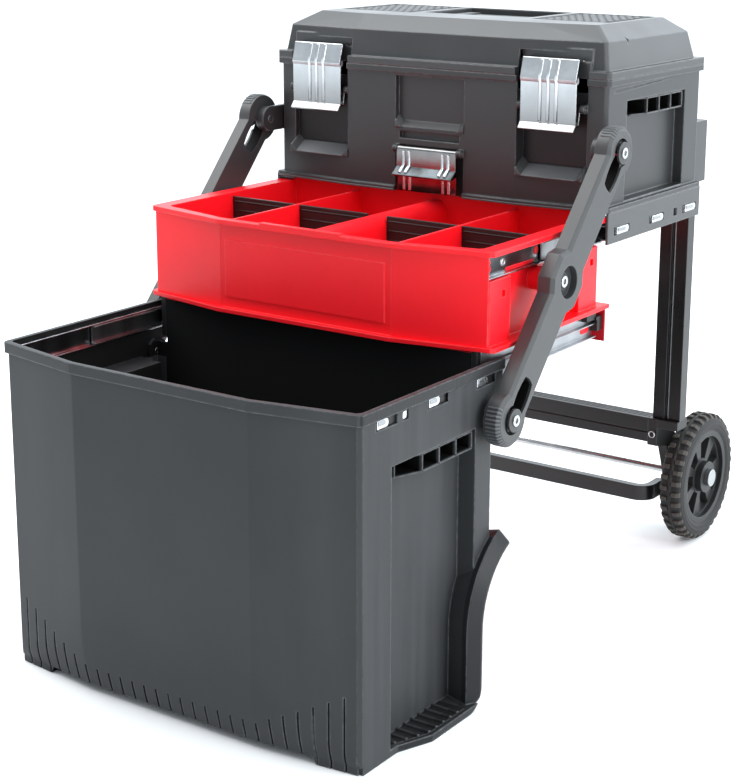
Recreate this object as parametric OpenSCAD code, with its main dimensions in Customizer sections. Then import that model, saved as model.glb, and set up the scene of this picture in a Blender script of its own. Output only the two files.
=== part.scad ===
// Rolling toolbox: a bin, a tray and a top box on a wheeled rear frame, drawn out to its open pose.
// Millimetres. +Z is up, the front faces -Y, and +X is on the right of someone who faces the front.

/* [Bin] */
// Width of the bin over its rim lip, and of the top box over its skirts
bin_w = 500; // [480:1:520]
// Depth of the bin's sides at the rim
bin_d = 272; // [262:1:280]
// Height of the bin
bin_h = 390; // [375:1:410]
// Depth of the bin below its rim, to the outside of the rear wall
bin_wall_d = 249; // [240:1:256]
// Height of the feet under the bin's floor
foot_h = 9; // [6:0.5:14]
// Depth of the hand recess in each side of the bin
recess_d = 22; // [16:1:28]
// Height of the top of the hand recess, below the bin's rim
recess_drop = 68; // [60:1:75]
// How much deeper the finger pocket at the top of each hand recess goes
grip_d = 16; // [10:1:18]
// How far the sill and the fender stand out from the recess floor
fender_out = 39; // [34:1:44]
// Distance from the wheel arch to the fender's ridge
fender_w = 19; // [15:1:24]
// Height of the ribbed sill
sill_h = 8; // [5:1:12]
// Height of the slanted band along the bottom of the front
slant_h = 85; // [70:1:95]

/* [Tray] */
// Clearance between the tray's rim and each skirt of the top box
tray_clear = 1; // [0.5:0.25:3]
// Depth of the tray's sides
tray_d = 268; // [256:1:272]
// Height of the tray
tray_h = 112; // [106:1:124]
// Gap between the bin's rim and the tray
tray_gap = 9; // [7:0.5:14]
// Width of the tray's rounded centre rib
rib_w = 28; // [20:1:36]
// Thickness of the loose cross dividers
divider_t = 3; // [2:0.5:4]

/* [Top box] */
// Depth of the top box at its corners
box_d = 250; // [240:1:260]
// Height of the box from its underside to the lid's seam
box_h = 158; // [150:1:175]
// Gap between the tray's rim and the box
box_gap = 5; // [4:0.5:8]
// How far the box's front stands ahead of its corners
box_bow = 12; // [6:1:16]
// How far the box's walls are set in from its skirts
box_inset = 7; // [5:0.5:10]
// How far the skirts hang below the box
skirt_h = 38; // [36:0.5:40]
// Height of the lid
lid_h = 60; // [54:1:70]
// Height of the rim band around the box's mouth
box_rim_h = 8; // [7:0.5:11]
// Height of the lid's rim band
lid_rim_h = 9; // [7:0.5:12]
// How far the lid's top is set in from its rim at the sides
hip = 41; // [34:1:43]

/* [Shared mouldings] */
// Wall thickness of the moulded plastic
wall = 3.5; // [2.5:0.1:4]
// How far the bin's and tray's fronts stand ahead of their corners
bow = 23; // [14:1:28]
// Width of the flat middle facet of the fronts
facet_w = 246; // [210:1:270]
// How far the rim lips stand proud of the walls
lip = 3; // [2:0.25:4]
// Height of the rim lips
lip_h = 12; // [8:1:16]

/* [Arms] */
// Height between one arm pin and the next
pin_rise = 132.5; // [128:0.5:138]
// Distance that each arm pin lies behind the one below it when drawn out
pin_lean = 117.5; // [105:0.5:118]
// Distance of the bin's arm pins ahead of the end of the bin's sides
bin_pin_inset = 25; // [20:0.5:32]
// Distance of the bin's arm pins below its rim
bin_pin_drop = 61; // [57:0.5:66]
// Thickness of an arm
arm_t = 20; // [16:0.5:24]
// Width of an arm's bar
arm_w = 46; // [42:1:52]
// Radius of the lobe around each end of an arm
lobe_r = 30; // [27:0.5:34]
// Radius of the hub at the middle of an arm
hub_r = 34; // [30:0.5:40]
// Width of the bevel along an arm's outer edges
bevel = 4; // [2:0.5:6]
// Radius of the pins in the arms' slots
slot_pin_r = 4.5; // [3.5:0.25:5.5]
// Radius of the pivot pins in the middle of the arms
pivot_r = 7; // [5:0.5:9]

/* [Slides] */
// Height of the widest slide member
rail_h = 26; // [24:0.5:27]
// Sheet thickness of the slide members
rail_t = 1.5; // [1:0.1:1.8]
// Distance from the bin's rim down to the middle of its slides
bin_rail_drop = 18; // [16:0.5:20]

/* [Latches] */
// Distance of the front latches' middles from the box's sides
latch_set = 78; // [72:1:88]
// Width of a front latch
latch_w = 76; // [64:1:84]
// Width of the centre latch
centre_latch_w = 88; // [70:1:96]
// Thickness of the latches' steel sheet
sheet_t = 1.6; // [1.2:0.1:2]

/* [Rear frame] */
// Radius of a wheel
wheel_r = 89.5; // [82:0.5:94]
// Width of a wheel
wheel_w = 34; // [30:1:38]
// Distance of a wheel's outer face in from the box's side
wheel_set = 8; // [2:1:12]
// Distance of the axle behind the top box
axle_set = 90; // [86:1:104]
// Radius of the axle rod
axle_r = 6; // [5:0.25:7]
// Width of one barrel of a rear post
barrel_w = 17; // [15:0.5:19]
// Depth of a rear post
post_d = 19; // [16:0.5:22]
// Width of the groove between a post's two barrels
post_groove = 6; // [4:0.5:8]
// Distance of a post's outer face in from the box's side
post_set = 15; // [12:1:20]
// Height of the cross bar's top above the ground
cross_z = 190; // [186:1:200]
// Height of the cross bar
cross_h = 34; // [28:1:40]
// Height of the kick bar's top above the ground
kick_z = 86; // [78:1:92]
// Height of the kick bar
kick_h = 21; // [16:1:25]

/* [Hidden] */

$fn = 64;
hull_fn = 32;

// Clearances
run_gap = 0.05;
slip_gap = 0.4;
face_gap = 0.3;
arm_gap = 6;
over = 1;

// Places along the chain of arm pins, with y = 0 at the bin's front corners
bin_pin_y = bin_d - bin_pin_inset;
bin_pin_z = bin_h - bin_pin_drop;
tray_pin_y = bin_pin_y + pin_lean;
tray_pin_z = bin_pin_z + pin_rise;
box_pin_y = tray_pin_y + pin_lean;
box_pin_z = tray_pin_z + pin_rise;
arm_reach = sqrt(pin_lean * pin_lean + pin_rise * pin_rise);
arm_angle = atan2(pin_lean, pin_rise);
travel = 2 * pin_lean;

// Bin
bin_side = bin_w / 2 - lip;
bin_in = bin_side - wall;
recess_floor = bin_side - recess_d;
recess_y0 = 57;
recess_y1 = 217;
recess_z1 = bin_h - recess_drop;
grip_h = 20;
grip_inset = 6;
ear_z = bin_pin_z + 12;
foot_in = bin_side - 59;
foot_y = 8;
groove_w = 2.2;
groove_d = 2.5;
groove_pitch = 17.6;
arch_r = 95.5;
arch_y = recess_y1 - 5.5 + arch_r;
arch_z = 92;
leg_round = 26;
lower_rail_x = bin_in - 14;
rear_notch = lower_rail_x - 7.5;
slot_y = 29;
slot_pitch = (bin_d - 84) / 2;

// Widths of the box and of the tray between its skirts
box_w = bin_w;
skirt_out = box_w / 2;
skirt_in = skirt_out - 3;
tray_w = 2 * (skirt_in - tray_clear);

// Tray
tray_y = tray_pin_y - 116;
tray_z = bin_h + tray_gap;
tray_top = tray_z + tray_h;
tray_side = tray_w / 2 - 17;
tray_wall = 3;
rim_t = 6;
flange_t = 5;
column_x = 120;
plate_half = facet_w / 2 - 8;
divider_y = tray_y + tray_d / 2;
divider_top = tray_top - 4;

// Top box and lid
box_y = box_pin_y + 24;
box_z = tray_top + box_gap;
box_rear = box_y + box_d;
seam_z = box_z + box_h;
lid_top = seam_z + lid_h;
skirt_z = box_z - skirt_h;
skirt_slot_y = box_y + 14;
skirt_slot_pitch = (box_d - 62) / 2;
box_side = skirt_out - box_inset;
box_front = box_y - box_bow;
rim_out = box_side + 4.5;
box_recess = box_side - 14;
box_recess_y = [box_y + 50, box_rear - 40];
box_recess_z = [box_z + 8, seam_z - 29];
hinge_y = box_rear + lip + 8;
hinge_r = 6;
hinge_pin_r = 3;
hinge_x = 120;

// Arms
arm_in = max(bin_w, box_w) / 2 + arm_gap;
arm_out = arm_in + arm_t;
boss_r = 16;
slot_half = slot_pin_r + 8.6;
washer_r = 13;
washer_t = 3;

// Slides
upper_rail_z = tray_top - rim_t - 1 - rail_h / 2;
lower_rail_z = bin_h - bin_rail_drop;
rail_fit = 0.5;

// Latches
latch_x = box_w / 2 - latch_set;
latch_face_y = box_y - 17;
bail_z = seam_z - 36;
bail_y = latch_face_y + 9;
bail_r = 1.5;
bail_drop = 18;
centre_pin_z = box_z + 55;
centre_pin_y = box_front - 3;

// Rear frame
axle_y = box_rear + axle_set;
post_out = box_w / 2 - post_set;
post_in = post_out - 2 * barrel_w - post_groove;
post_y = box_rear + lip + 2;
post_top = box_z + 82;
wheel_out = box_w / 2 - wheel_set;
wheel_in = wheel_out - wheel_w;
bracket_out = wheel_in - 3;
bracket_in = bracket_out - 14;
hub_out_r = wheel_r - 23.5;
grip_z = seam_z - 38;

// The part's origin lies on the ground at the middle of its length
front_end = -bow;
rear_end = axle_y + wheel_r;
mid_y = (front_end + rear_end) / 2;

// Helpers

module place() {
    translate([0, -mid_y, 0])
        children();
}

module both_sides() {
    children();
    mirror([1, 0, 0])
        children();
}

module left_side() {
    mirror([1, 0, 0])
        children();
}

module block(x, y, z) {
    translate([x[0], y[0], z[0]])
        cube([x[1] - x[0], y[1] - y[0], z[1] - z[0]]);
}

// A rod along X between two places
module x_rod(x, y, z, r) {
    translate([x[0], y, z])
        rotate([0, 90, 0])
            cylinder(h = x[1] - x[0], r = r);
}

// An outline in (y, z), extruded along X
module side_slab(x0, x1) {
    translate([x0, 0, 0])
        rotate([90, 0, 90])
            linear_extrude(x1 - x0)
                children();
}

// Plan of a moulding: straight sides and rear, a front of three facets and cut front corners
module plan(half, y0, y1, b, corner = 4) {
    rise = b * corner / (half - facet_w / 2);
    polygon([
        [-half, y1], [-half, y0 + corner], [-half + corner, y0 - rise], [-facet_w / 2, y0 - b],
        [facet_w / 2, y0 - b], [half - corner, y0 - rise], [half, y0 + corner], [half, y1]
    ]);
}

module plan_prism(half, y0, y1, b, z) {
    translate([0, 0, z[0]])
        linear_extrude(z[1] - z[0])
            plan(half, y0, y1, b);
}

// Bin

module bin_front_solid() {
    difference() {
        plan_prism(bin_side, lip, bin_wall_d, bow, [foot_h, bin_h]);
        slant_cut();
    }
}

// Takes the bow off the front towards the bottom
module slant_cut() {
    side_slab(-bin_w, bin_w)
        polygon([
            [-2 * bow, slant_h], [lip - bow, slant_h], [lip + 5, 0], [lip + 5, -over], [-2 * bow, -over]
        ]);
}

module bin_grooves() {
    last = floor((bin_side - 10) / groove_pitch);
    for (i = [-last : last]) {
        x = i * groove_pitch;
        taper = max(0, abs(x) - facet_w / 2) / (bin_side - facet_w / 2);
        difference() {
            block([x - groove_w / 2, x + groove_w / 2], [-2 * bow, 60], [0, 24 + foot_h + 62 * taper]);
            translate([0, groove_d, 0])
                bin_front_solid();
        }
    }
}

module bin_cavity() {
    difference() {
        plan_prism(bin_in, lip + wall, bin_wall_d - wall, bow, [foot_h + wall, bin_h + over]);
        translate([0, wall, 0])
            slant_cut();
        both_sides()
            block([recess_floor - wall, bin_w], [recess_y0 - wall, recess_y1 + wall],
                [0, recess_z1 + wall]);
        both_sides() {
            bin_grip_pocket(wall);
            wheel_arch(wall);
        }
    }
}

// Deeper pocket for the fingers at the top of the hand recess, or its walls when grown
module bin_grip_pocket(grow) {
    block([recess_floor - grip_d - grow, bin_w],
        [recess_y0 + grip_inset - grow, recess_y1 - grip_inset + grow],
        [recess_z1 - grip_h - grow, recess_z1 + grow]);
}

// Space for the wheel at the rear of each side, or its walls when grown
module wheel_arch(grow) {
    x_rod([recess_floor - grow, bin_w], arch_y, arch_z, arch_r + grow);
    block([recess_floor - grow, bin_w], [arch_y - arch_r - grow, bin_d + grow], [-over, arch_z]);
}

// Section of the fender: distance from the wheel arch's axis, and distance out from the recess floor
fender_section = [
    [arch_r, 0], [arch_r + fender_w / 2, 0], [arch_r + fender_w, fender_out - 9],
    [arch_r + 3, fender_out], [arch_r, fender_out]
];

// Curved fender, its straight leg, and the ribbed sill at the leg's foot
module fender() {
    out = recess_floor + fender_out;
    rear = arch_y - arch_r;
    intersection() {
        translate([recess_floor, arch_y, arch_z])
            rotate([0, 90, 0])
                rotate_extrude()
                    polygon(fender_section);
        side_slab(recess_floor - over, bin_w)
            translate([arch_y, arch_z])
                polygon(arch_r * [[0, 0], [-3, 0], [-3, 6.3]]);
    }
    difference() {
        union() {
            linear_extrude(arch_z)
                polygon([for (p = fender_section) [recess_floor + p[1], arch_y - p[0]]]);
            linear_extrude(sill_h)
                polygon([
                    [recess_floor, recess_y0], [bin_side, recess_y0 + 13], [out, recess_y0 + 55],
                    [out, rear - 1], [recess_floor, rear - 1]
                ]);
        }
        side_slab(recess_floor - over, bin_w)
            translate([rear - leg_round, leg_round])
                difference() {
                    translate([0, -leg_round - over])
                        square([leg_round + over, leg_round + over]);
                    circle(leg_round);
                }
    }
}

module hook_slots(x, y_list, z, w, h) {
    both_sides()
        for (y = y_list)
            block([x - 2 * wall, x + 2 * wall], [y, y + w], [z, z + h]);
}

module bin_body() {
    color("#494c4f")
    place()
    difference() {
        union() {
            difference() {
                union() {
                    bin_front_solid();
                    plan_prism(bin_w / 2, 0, bin_d, bow, [bin_h - lip_h, bin_h]);
                    both_sides()
                        block([bin_in, bin_side], [bin_wall_d - wall, bin_d], [ear_z, bin_h]);
                    both_sides()
                        block([foot_in, bin_side], [foot_y, bin_wall_d], [0, foot_h + over]);
                }
                bin_cavity();
                bin_grooves();
                both_sides()
                    block([recess_floor, bin_w], [recess_y0, recess_y1], [sill_h, recess_z1]);
                both_sides() {
                    bin_grip_pocket(0);
                    wheel_arch(0);
                }
            }
            both_sides() {
                fender();
                x_rod([bin_in - 4, arm_in - face_gap], bin_pin_y, bin_pin_z, boss_r);
            }
            // rise of the rear wall between the notches, up to just below the tray
            block([-rear_notch, rear_notch], [bin_wall_d - wall, bin_wall_d],
                [bin_h - over, tray_z - 3]);
        }
        // Notches beside the rear wall, where the tray's rails pass through
        both_sides()
            block([rear_notch, bin_in], [bin_wall_d - 2 * wall, bin_d + over], [ear_z, bin_h + over]);
        block([-bin_in, bin_in], [bin_wall_d + lip, bin_d + over], [ear_z, bin_h + over]);
        hook_slots(bin_side, [for (i = [0 : 2]) slot_y + i * slot_pitch], lower_rail_z - 6, 38, 11);
        hook_slots(bin_side, [slot_y + slot_pitch / 2], lower_rail_z - 6, 11, 11);
        both_sides()
            x_rod([bin_in - 5, arm_in], bin_pin_y, bin_pin_z, slot_pin_r + run_gap);
    }
}

// Slide members: channels along Y, each nested in the next wider one

module channel(x_web, reach, half, y, z) {
    web = x_web + (reach > 0 ? rail_t : -rail_t);
    block([min(x_web, web), max(x_web, web)], y, [z - half, z + half]);
    for (s = [-1, 1])
        block([min(x_web, x_web + reach), max(x_web, x_web + reach)], y,
            [z + s * (half - rail_t / 2) - rail_t / 2, z + s * (half - rail_t / 2) + rail_t / 2]);
}

wide_half = rail_h / 2;
middle_half = wide_half - rail_t - rail_fit;
narrow_half = middle_half - rail_t - rail_fit;

module right_bin_rail() {
    color("#b9bec2")
    place()
        channel(bin_in, -8, wide_half, [lip + wall + 8, bin_d - 6], lower_rail_z);
}

module left_bin_rail() {
    left_side()
        right_bin_rail();
}

module right_lower_middle_rail() {
    color("#a8adb2")
    place()
        channel(bin_in - rail_t - 1.5, -7, middle_half,
            [bin_d / 2 - 4, bin_d + travel / 2 - 14], lower_rail_z);
}

module left_lower_middle_rail() {
    left_side()
        right_lower_middle_rail();
}

tray_lower_y0 = tray_y + 3;
tray_lower_y1 = tray_y + tray_d - 10;

module right_tray_lower_rail() {
    x_web = lower_rail_x;
    color("#c9cdd0")
    place() {
        channel(x_web, 8, narrow_half, [tray_lower_y0, tray_lower_y1], lower_rail_z);
        block([x_web, x_web + rail_t], [tray_lower_y0, tray_lower_y1], [lower_rail_z, tray_z]);
    }
}

module left_tray_lower_rail() {
    left_side()
        right_tray_lower_rail();
}

module right_tray_upper_rail() {
    color("#c3c8cb")
    place()
        channel(tray_side, 8, wide_half, [tray_y + 3, tray_y + tray_d - 2], upper_rail_z);
}

module left_tray_upper_rail() {
    left_side()
        right_tray_upper_rail();
}

module right_upper_middle_rail() {
    color("#a8adb2")
    place()
        channel(tray_side + rail_t + 1.5, 7, middle_half,
            [tray_y + travel / 2 + 8, tray_y + tray_d + travel / 2 - 8], upper_rail_z);
}

module left_upper_middle_rail() {
    left_side()
        right_upper_middle_rail();
}

module right_box_rail() {
    color("#b9bec2")
    place()
        channel(skirt_in, -9, narrow_half, [box_y + 2, box_rear - 1], upper_rail_z);
}

module left_box_rail() {
    left_side()
        right_box_rail();
}

// Black stops on the rear ends of the tray's lower rails
module rail_bumpers() {
    x_web = lower_rail_x;
    color("#1c1c1e")
    place()
        both_sides()
            block([x_web + rail_t, x_web + 9], [tray_lower_y1 - 26, tray_lower_y1 - 4],
                [lower_rail_z + wide_half + 1, tray_z]);
}

// Tray

module tray_body() {
    color("#d3161e")
    place()
    difference() {
        union() {
            plan_prism(tray_side, tray_y + 8, tray_y + tray_d, bow, [tray_z, tray_top]);
            plan_prism(tray_w / 2, tray_y, tray_y + tray_d, bow, [tray_top - rim_t, tray_top]);
            plan_prism(tray_w / 2 + 3, tray_y, tray_y + tray_d, bow, [tray_z, tray_z + flange_t]);
            // raised bar on the front rim and the bare raised plate below it
            block([-plate_half / 2, plate_half / 2], [tray_y - bow, tray_y - bow + 7],
                [tray_top - over, tray_top + 2.5]);
            block([-plate_half, plate_half], [tray_y + 6 - bow, tray_y + 10 - bow],
                [tray_z + tray_h / 6, tray_top - tray_h / 4.5]);
            // rise of the rear rim, up to just below the box
            block([-tray_side, tray_side], [tray_y + tray_d - tray_wall, tray_y + tray_d],
                [tray_top - over, tray_top + box_gap / 2]);
            both_sides()
                tray_side_posts();
            both_sides()
                x_rod([tray_side - tray_wall, arm_in - face_gap], tray_pin_y, tray_pin_z, boss_r - 2);
            // tabs that hold the rear of the lower rails
            both_sides()
                block([lower_rail_x - 4, lower_rail_x], [tray_lower_y1 - 16, tray_lower_y1],
                    [lower_rail_z - narrow_half, tray_z + over]);
        }
        tray_inside(tray_top + 3);
        both_sides()
            x_rod([tray_side - 2 * tray_wall, arm_in], tray_pin_y, tray_pin_z, pivot_r + run_gap);
    }
}

// Space between the tray's walls, from its floor up
module tray_inside(top) {
    plan_prism(tray_side - tray_wall, tray_y + 8 + tray_wall, tray_y + tray_d - tray_wall, bow,
        [tray_z + tray_wall, top]);
}

// Two thin walls and a rounded hollow rib that stand on the tray's floor
module tray_partitions() {
    color("#c5141b")
    place()
    intersection() {
        union() {
            both_sides()
                block([column_x - tray_wall / 2, column_x + tray_wall / 2], [tray_y - bow, tray_y + tray_d],
                    [tray_z, divider_top]);
            difference() {
                centre_rib();
                block([-rib_w / 2 + tray_wall, rib_w / 2 - tray_wall], [tray_y + 30, tray_y + tray_d - 20],
                    [tray_z, tray_top - 12]);
            }
        }
        tray_inside(divider_top + over);
    }
}

// Corner posts beside the recessed middle of each side, with square moulding holes
module tray_side_posts() {
    post_y0 = [tray_y + 4, tray_y + tray_d - 62];
    for (y = post_y0)
        difference() {
            block([tray_side - over, tray_w / 2 - 6], [y, y + 44], [tray_z, upper_rail_z - wide_half - 1]);
            block([tray_side + 4, tray_w / 2], [y + 26, y + 34], [tray_pin_z - 6, tray_pin_z + 2]);
        }
}

module centre_rib() {
    round_r = rib_w / 2;
    block([-round_r, round_r], [tray_y - bow, tray_y + tray_d], [tray_z, divider_top - round_r]);
    intersection() {
        translate([0, tray_y - bow, divider_top - round_r])
            rotate([-90, 0, 0])
                cylinder(h = tray_d + bow, r = round_r);
        block([-round_r, round_r], [tray_y - bow, tray_y + tray_d], [tray_z, divider_top + over]);
    }
}

module divider(x0, x1) {
    color("#202022")
    place()
        block([x0 + slip_gap, x1 - slip_gap], [divider_y - divider_t / 2, divider_y + divider_t / 2],
            [tray_z + tray_wall, divider_top - 1]);
}

module inner_right_divider() {
    divider(rib_w / 2, column_x - tray_wall / 2);
}

module outer_right_divider() {
    divider(column_x + tray_wall / 2, tray_side - tray_wall);
}

module inner_left_divider() {
    left_side()
        inner_right_divider();
}

module outer_left_divider() {
    left_side()
        outer_right_divider();
}

// Arms, drawn upright about the tray's pin and then leaned

module upright_to_place() {
    place()
        translate([0, tray_pin_y, tray_pin_z])
            rotate([-arm_angle, 0, 0])
                children();
}

// Lobe with a bevelled outer rim
module bevelled_disc(z, r) {
    translate([arm_in, 0, z])
        rotate([0, 90, 0]) {
            cylinder(h = arm_t - bevel, r = r);
            translate([0, 0, arm_t - bevel])
                cylinder(h = bevel, r1 = r, r2 = r - bevel);
        }
}

// Opening for a pin that slides along the arm and strays to either side between its ends
module slot_outline() {
    inner_end = arm_reach - pin_rise;
    side_r = 70;
    intersection() {
        translate([0, inner_end / 2])
            circle(inner_end / 2 + slot_pin_r + 2.2);
        translate([side_r - slot_half, inner_end * 0.62])
            circle(side_r);
        translate([-side_r + slot_half, inner_end * 0.62])
            circle(side_r);
    }
}

module arm_bar() {
    half = arm_w / 2;
    translate([0, 0, -arm_reach])
        linear_extrude(2 * arm_reach)
            polygon([
                [arm_in, -half], [arm_out - bevel, -half], [arm_out, -half + bevel],
                [arm_out, half - bevel], [arm_out - bevel, half], [arm_in, half]
            ]);
}

module arm_hub() {
    wide = hub_r;
    length = 1.15 * hub_r;
    corner = 0.45 * hub_r;
    outline = [
        [-wide, -corner], [-corner, -length], [corner, -length], [wide, -corner],
        [wide, corner], [corner, length], [-corner, length], [-wide, corner]
    ];
    hull() {
        side_slab(arm_in, arm_out - bevel)
            polygon(outline);
        side_slab(arm_in, arm_out)
            polygon([for (p = outline) p * (hub_r - bevel) / hub_r]);
    }
}

module right_arm() {
    color("#55585b")
    upright_to_place()
        difference() {
            union() {
                arm_bar();
                arm_hub();
                for (s = [-1, 1])
                    bevelled_disc(s * arm_reach, lobe_r);
            }
            x_rod([arm_in - over, arm_out + over], 0, 0, pivot_r + run_gap);
            x_rod([arm_out - 9, arm_out + over], 0, 0, 19);
            arm_end_cuts();
            rotate([180, 0, 0])
                arm_end_cuts();
        }
}

// Slot and washer seat at the arm's upper end
module arm_end_cuts() {
    translate([0, 0, arm_reach]) {
        mirror([0, 0, 1])
            side_slab(arm_in - over, arm_out + over)
                slot_outline();
        x_rod([arm_out - 3, arm_out + over], 0, 0, washer_r + 4);
    }
}

module left_arm() {
    left_side()
        right_arm();
}

// Shoulder screws and washers of the arms

module slot_screw(y, z, x0) {
    x_rod([x0, arm_out + face_gap], y, z, slot_pin_r);
    x_rod([arm_out + face_gap, arm_out + face_gap + washer_t], y, z, slot_pin_r);
    x_rod([arm_out + face_gap + washer_t, arm_out + face_gap + washer_t + 2], y, z, slot_pin_r + 2);
}

module slot_washer(y, z) {
    difference() {
        x_rod([arm_out + face_gap, arm_out + face_gap + washer_t], y, z, washer_r);
        x_rod([arm_out, arm_out + 2 * washer_t], y, z, slot_pin_r + run_gap);
    }
}

module bin_arm_screws() {
    color("#d5d8da")
    place()
        both_sides()
            slot_screw(bin_pin_y, bin_pin_z, bin_in - 4);
}

module bin_arm_washers() {
    color("#6a6d70")
    place()
        both_sides()
            slot_washer(bin_pin_y, bin_pin_z);
}

module box_arm_screws() {
    color("#d5d8da")
    place()
        both_sides()
            slot_screw(box_pin_y, box_pin_z, box_side);
}

module box_arm_washers() {
    color("#6a6d70")
    place()
        both_sides()
            slot_washer(box_pin_y, box_pin_z);
}

module tray_arm_screws() {
    color("#d5d8da")
    place()
        both_sides() {
            x_rod([tray_side - tray_wall - 1, arm_out - 9 + face_gap], tray_pin_y, tray_pin_z, pivot_r);
            x_rod([arm_out - 9 + face_gap, arm_out - 5], tray_pin_y, tray_pin_z, pivot_r + 4);
        }
}

// Top box

module box_plan(half, inset, z) {
    plan_prism(half - inset, box_y + inset, box_rear - inset, box_bow, z);
}

module box_body() {
    color("#3f4144")
    place()
    difference() {
        union() {
            difference() {
                union() {
                    box_plan(box_side, 0, [box_z, seam_z - face_gap]);
                    plan_prism(skirt_out, box_y - lip, box_rear, box_bow, [box_z, box_z + 6]);
                    plan_prism(rim_out, box_y - lip, box_rear + lip, box_bow,
                        [seam_z - box_rim_h, seam_z - face_gap]);
                }
                box_cavity();
                front_recesses();
                both_sides() {
                    side_groove();
                    block([box_recess, box_w], box_recess_y, box_recess_z);
                    box_grip_pocket(0);
                }
            }
            latch_bosses();
            centre_latch_ears();
        }
        both_sides()
            x_rod([latch_x - latch_w, latch_x + latch_w], bail_y, bail_z, bail_r + run_gap);
        x_rod([-centre_latch_w, centre_latch_w], centre_pin_y, centre_pin_z, 2 + run_gap);
    }
}

// Inside of the box, kept away from the recesses in its front and sides
module box_cavity() {
    difference() {
        plan_prism(box_side - wall, box_y + wall, box_rear - wall, box_bow, [box_z + wall, seam_z + over]);
        both_sides() {
            block([box_recess - wall, box_w], [box_recess_y[0] - wall, box_recess_y[1] + wall],
                [box_z, box_recess_z[1] + wall]);
            box_grip_pocket(wall);
            block([latch_x - 46 - wall, latch_x + 46 + wall], [0, box_y + 6 + wall], [box_z, seam_z - 18]);
        }
        block([-51 - wall, 51 + wall], [0, box_front + 8 + wall], [box_z, seam_z - box_rim_h]);
    }
}

// Shallow groove that runs out to a point under the rim
module side_groove() {
    side_slab(box_side - 1.5, box_w)
        polygon([
            [box_y + 17, seam_z - box_rim_h - 9], [box_y + 178, seam_z - box_rim_h - 2.5],
            [box_y + 17, seam_z - box_rim_h - 5]
        ]);
}

// Finger pocket at the top of the box's side recess, or its walls when grown
module box_grip_pocket(grow) {
    block([box_recess - grip_d - grow, box_w],
        [box_recess_y[0] + grip_inset - grow, box_recess_y[1] - grip_inset + grow],
        [box_recess_z[1] - grip_h - grow, box_recess_z[1] + grow]);
}

// Plates that hang beside the tray and carry the upper slides, with hooked slots
module box_skirts() {
    last = skirt_slot_y + 2 * skirt_slot_pitch;
    color("#434548")
    place()
    difference() {
        both_sides()
            block([skirt_in, skirt_out], [box_y - 2, box_rear + 2], [skirt_z, box_z]);
        hook_slots(skirt_in, [for (i = [0 : 2]) skirt_slot_y + i * skirt_slot_pitch],
            upper_rail_z - 4, 40, 10);
        hook_slots(skirt_in, [last - 26], upper_rail_z - 4, 10, 10);
    }
}

// Recesses behind the latches, each with a sloped ledge below
module front_recesses() {
    both_sides()
        side_slab(latch_x - 46, latch_x + 46)
            polygon([
                [box_y - 60, seam_z + over], [box_y + 6, seam_z + over], [box_y + 6, box_z + 50],
                [box_y - 14, box_z + 37], [box_y - 60, box_z + 37]
            ]);
    side_slab(-51, 51)
        polygon([
            [box_front - 60, seam_z - box_rim_h - wall], [box_front + 8, seam_z - box_rim_h - wall],
            [box_front + 8, centre_pin_z + 35], [box_front - 2, centre_pin_z + 26],
            [box_front - 60, centre_pin_z + 26]
        ]);
    block([-45, 45], [box_front - 60, box_front + 7], [centre_pin_z + 13, centre_pin_z + 22]);
    block([-51, 51], [box_front - 60, box_front + 8], [box_z - over, centre_pin_z + 5]);
}

// Lugs that carry the arms' upper pins ahead of the box's corners
module box_arm_lugs() {
    color("#3f4144")
    place()
    both_sides()
        difference() {
            union() {
                x_rod([box_side, arm_in - face_gap], box_pin_y, box_pin_z, boss_r);
                block([box_side, skirt_out], [box_pin_y, box_y + 20],
                    [box_pin_z - boss_r, box_pin_z + boss_r]);
            }
            x_rod([box_side - over, arm_in], box_pin_y, box_pin_z, slot_pin_r + run_gap);
        }
}

module box_hinge_knuckles() {
    color("#3f4144")
    place()
    both_sides()
        for (x = [hinge_x - 30, hinge_x + 10])
            difference() {
                union() {
                    x_rod([x, x + 20], hinge_y, seam_z, hinge_r);
                    block([x, x + 20], [box_rear + lip, hinge_y + hinge_r],
                        [seam_z - box_rim_h, seam_z - face_gap]);
                }
                x_rod([x - over, x + 20 + over], hinge_y, seam_z, hinge_pin_r + run_gap);
            }
}

module latch_bosses() {
    both_sides()
        for (x = [latch_x - latch_w / 2 - 8, latch_x + latch_w / 2 + 2])
            hull_boss(x, bail_y, bail_z);
}

// Square-backed boss with a round nose
module hull_boss(x, y, z) {
    x_rod([x, x + 6], y, z, 5);
    block([x, x + 6], [y, box_y + 7], [z - 5, z + 5]);
}

module centre_latch_ears() {
    both_sides() {
        x_rod([centre_latch_w / 2 + slip_gap, 51], centre_pin_y, centre_pin_z, 5);
        block([centre_latch_w / 2 + slip_gap, 51], [centre_pin_y, box_front + 9],
            [centre_pin_z - 5, centre_pin_z + 5]);
    }
}

module lid_hinge_pins() {
    color("#9a9da0")
    place()
        both_sides()
            x_rod([hinge_x - 30, hinge_x + 30], hinge_y, seam_z, hinge_pin_r);
}

module centre_latch_pin() {
    color("#b5b8ba")
    place()
        x_rod([-51, 51], centre_pin_y, centre_pin_z, 2);
}

// Lid

// Outline of the lid at a height above the seam, set in from its rim, and further at the rear
module lid_layer(inset, z, t, rear = 0) {
    translate([0, 0, seam_z + z])
        linear_extrude(t)
            plan(rim_out - inset, box_y - lip + inset, box_rear + lip - inset - rear, box_bow);
}

// Ridge between the lid's walls and its slopes: set in from the rim, and below the top
ridge_in = 13;
ridge_drop = 18;

module lid_dome(shrink) {
    $fn = hull_fn;
    hull() {
        lid_layer(6.5 + shrink, 0, over, 5);
        lid_layer(ridge_in + shrink, lid_h - ridge_drop, 0.5, 13);
        lid_layer(hip + shrink * 0.6, lid_h - shrink - 0.5, 0.5);
    }
}

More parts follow.
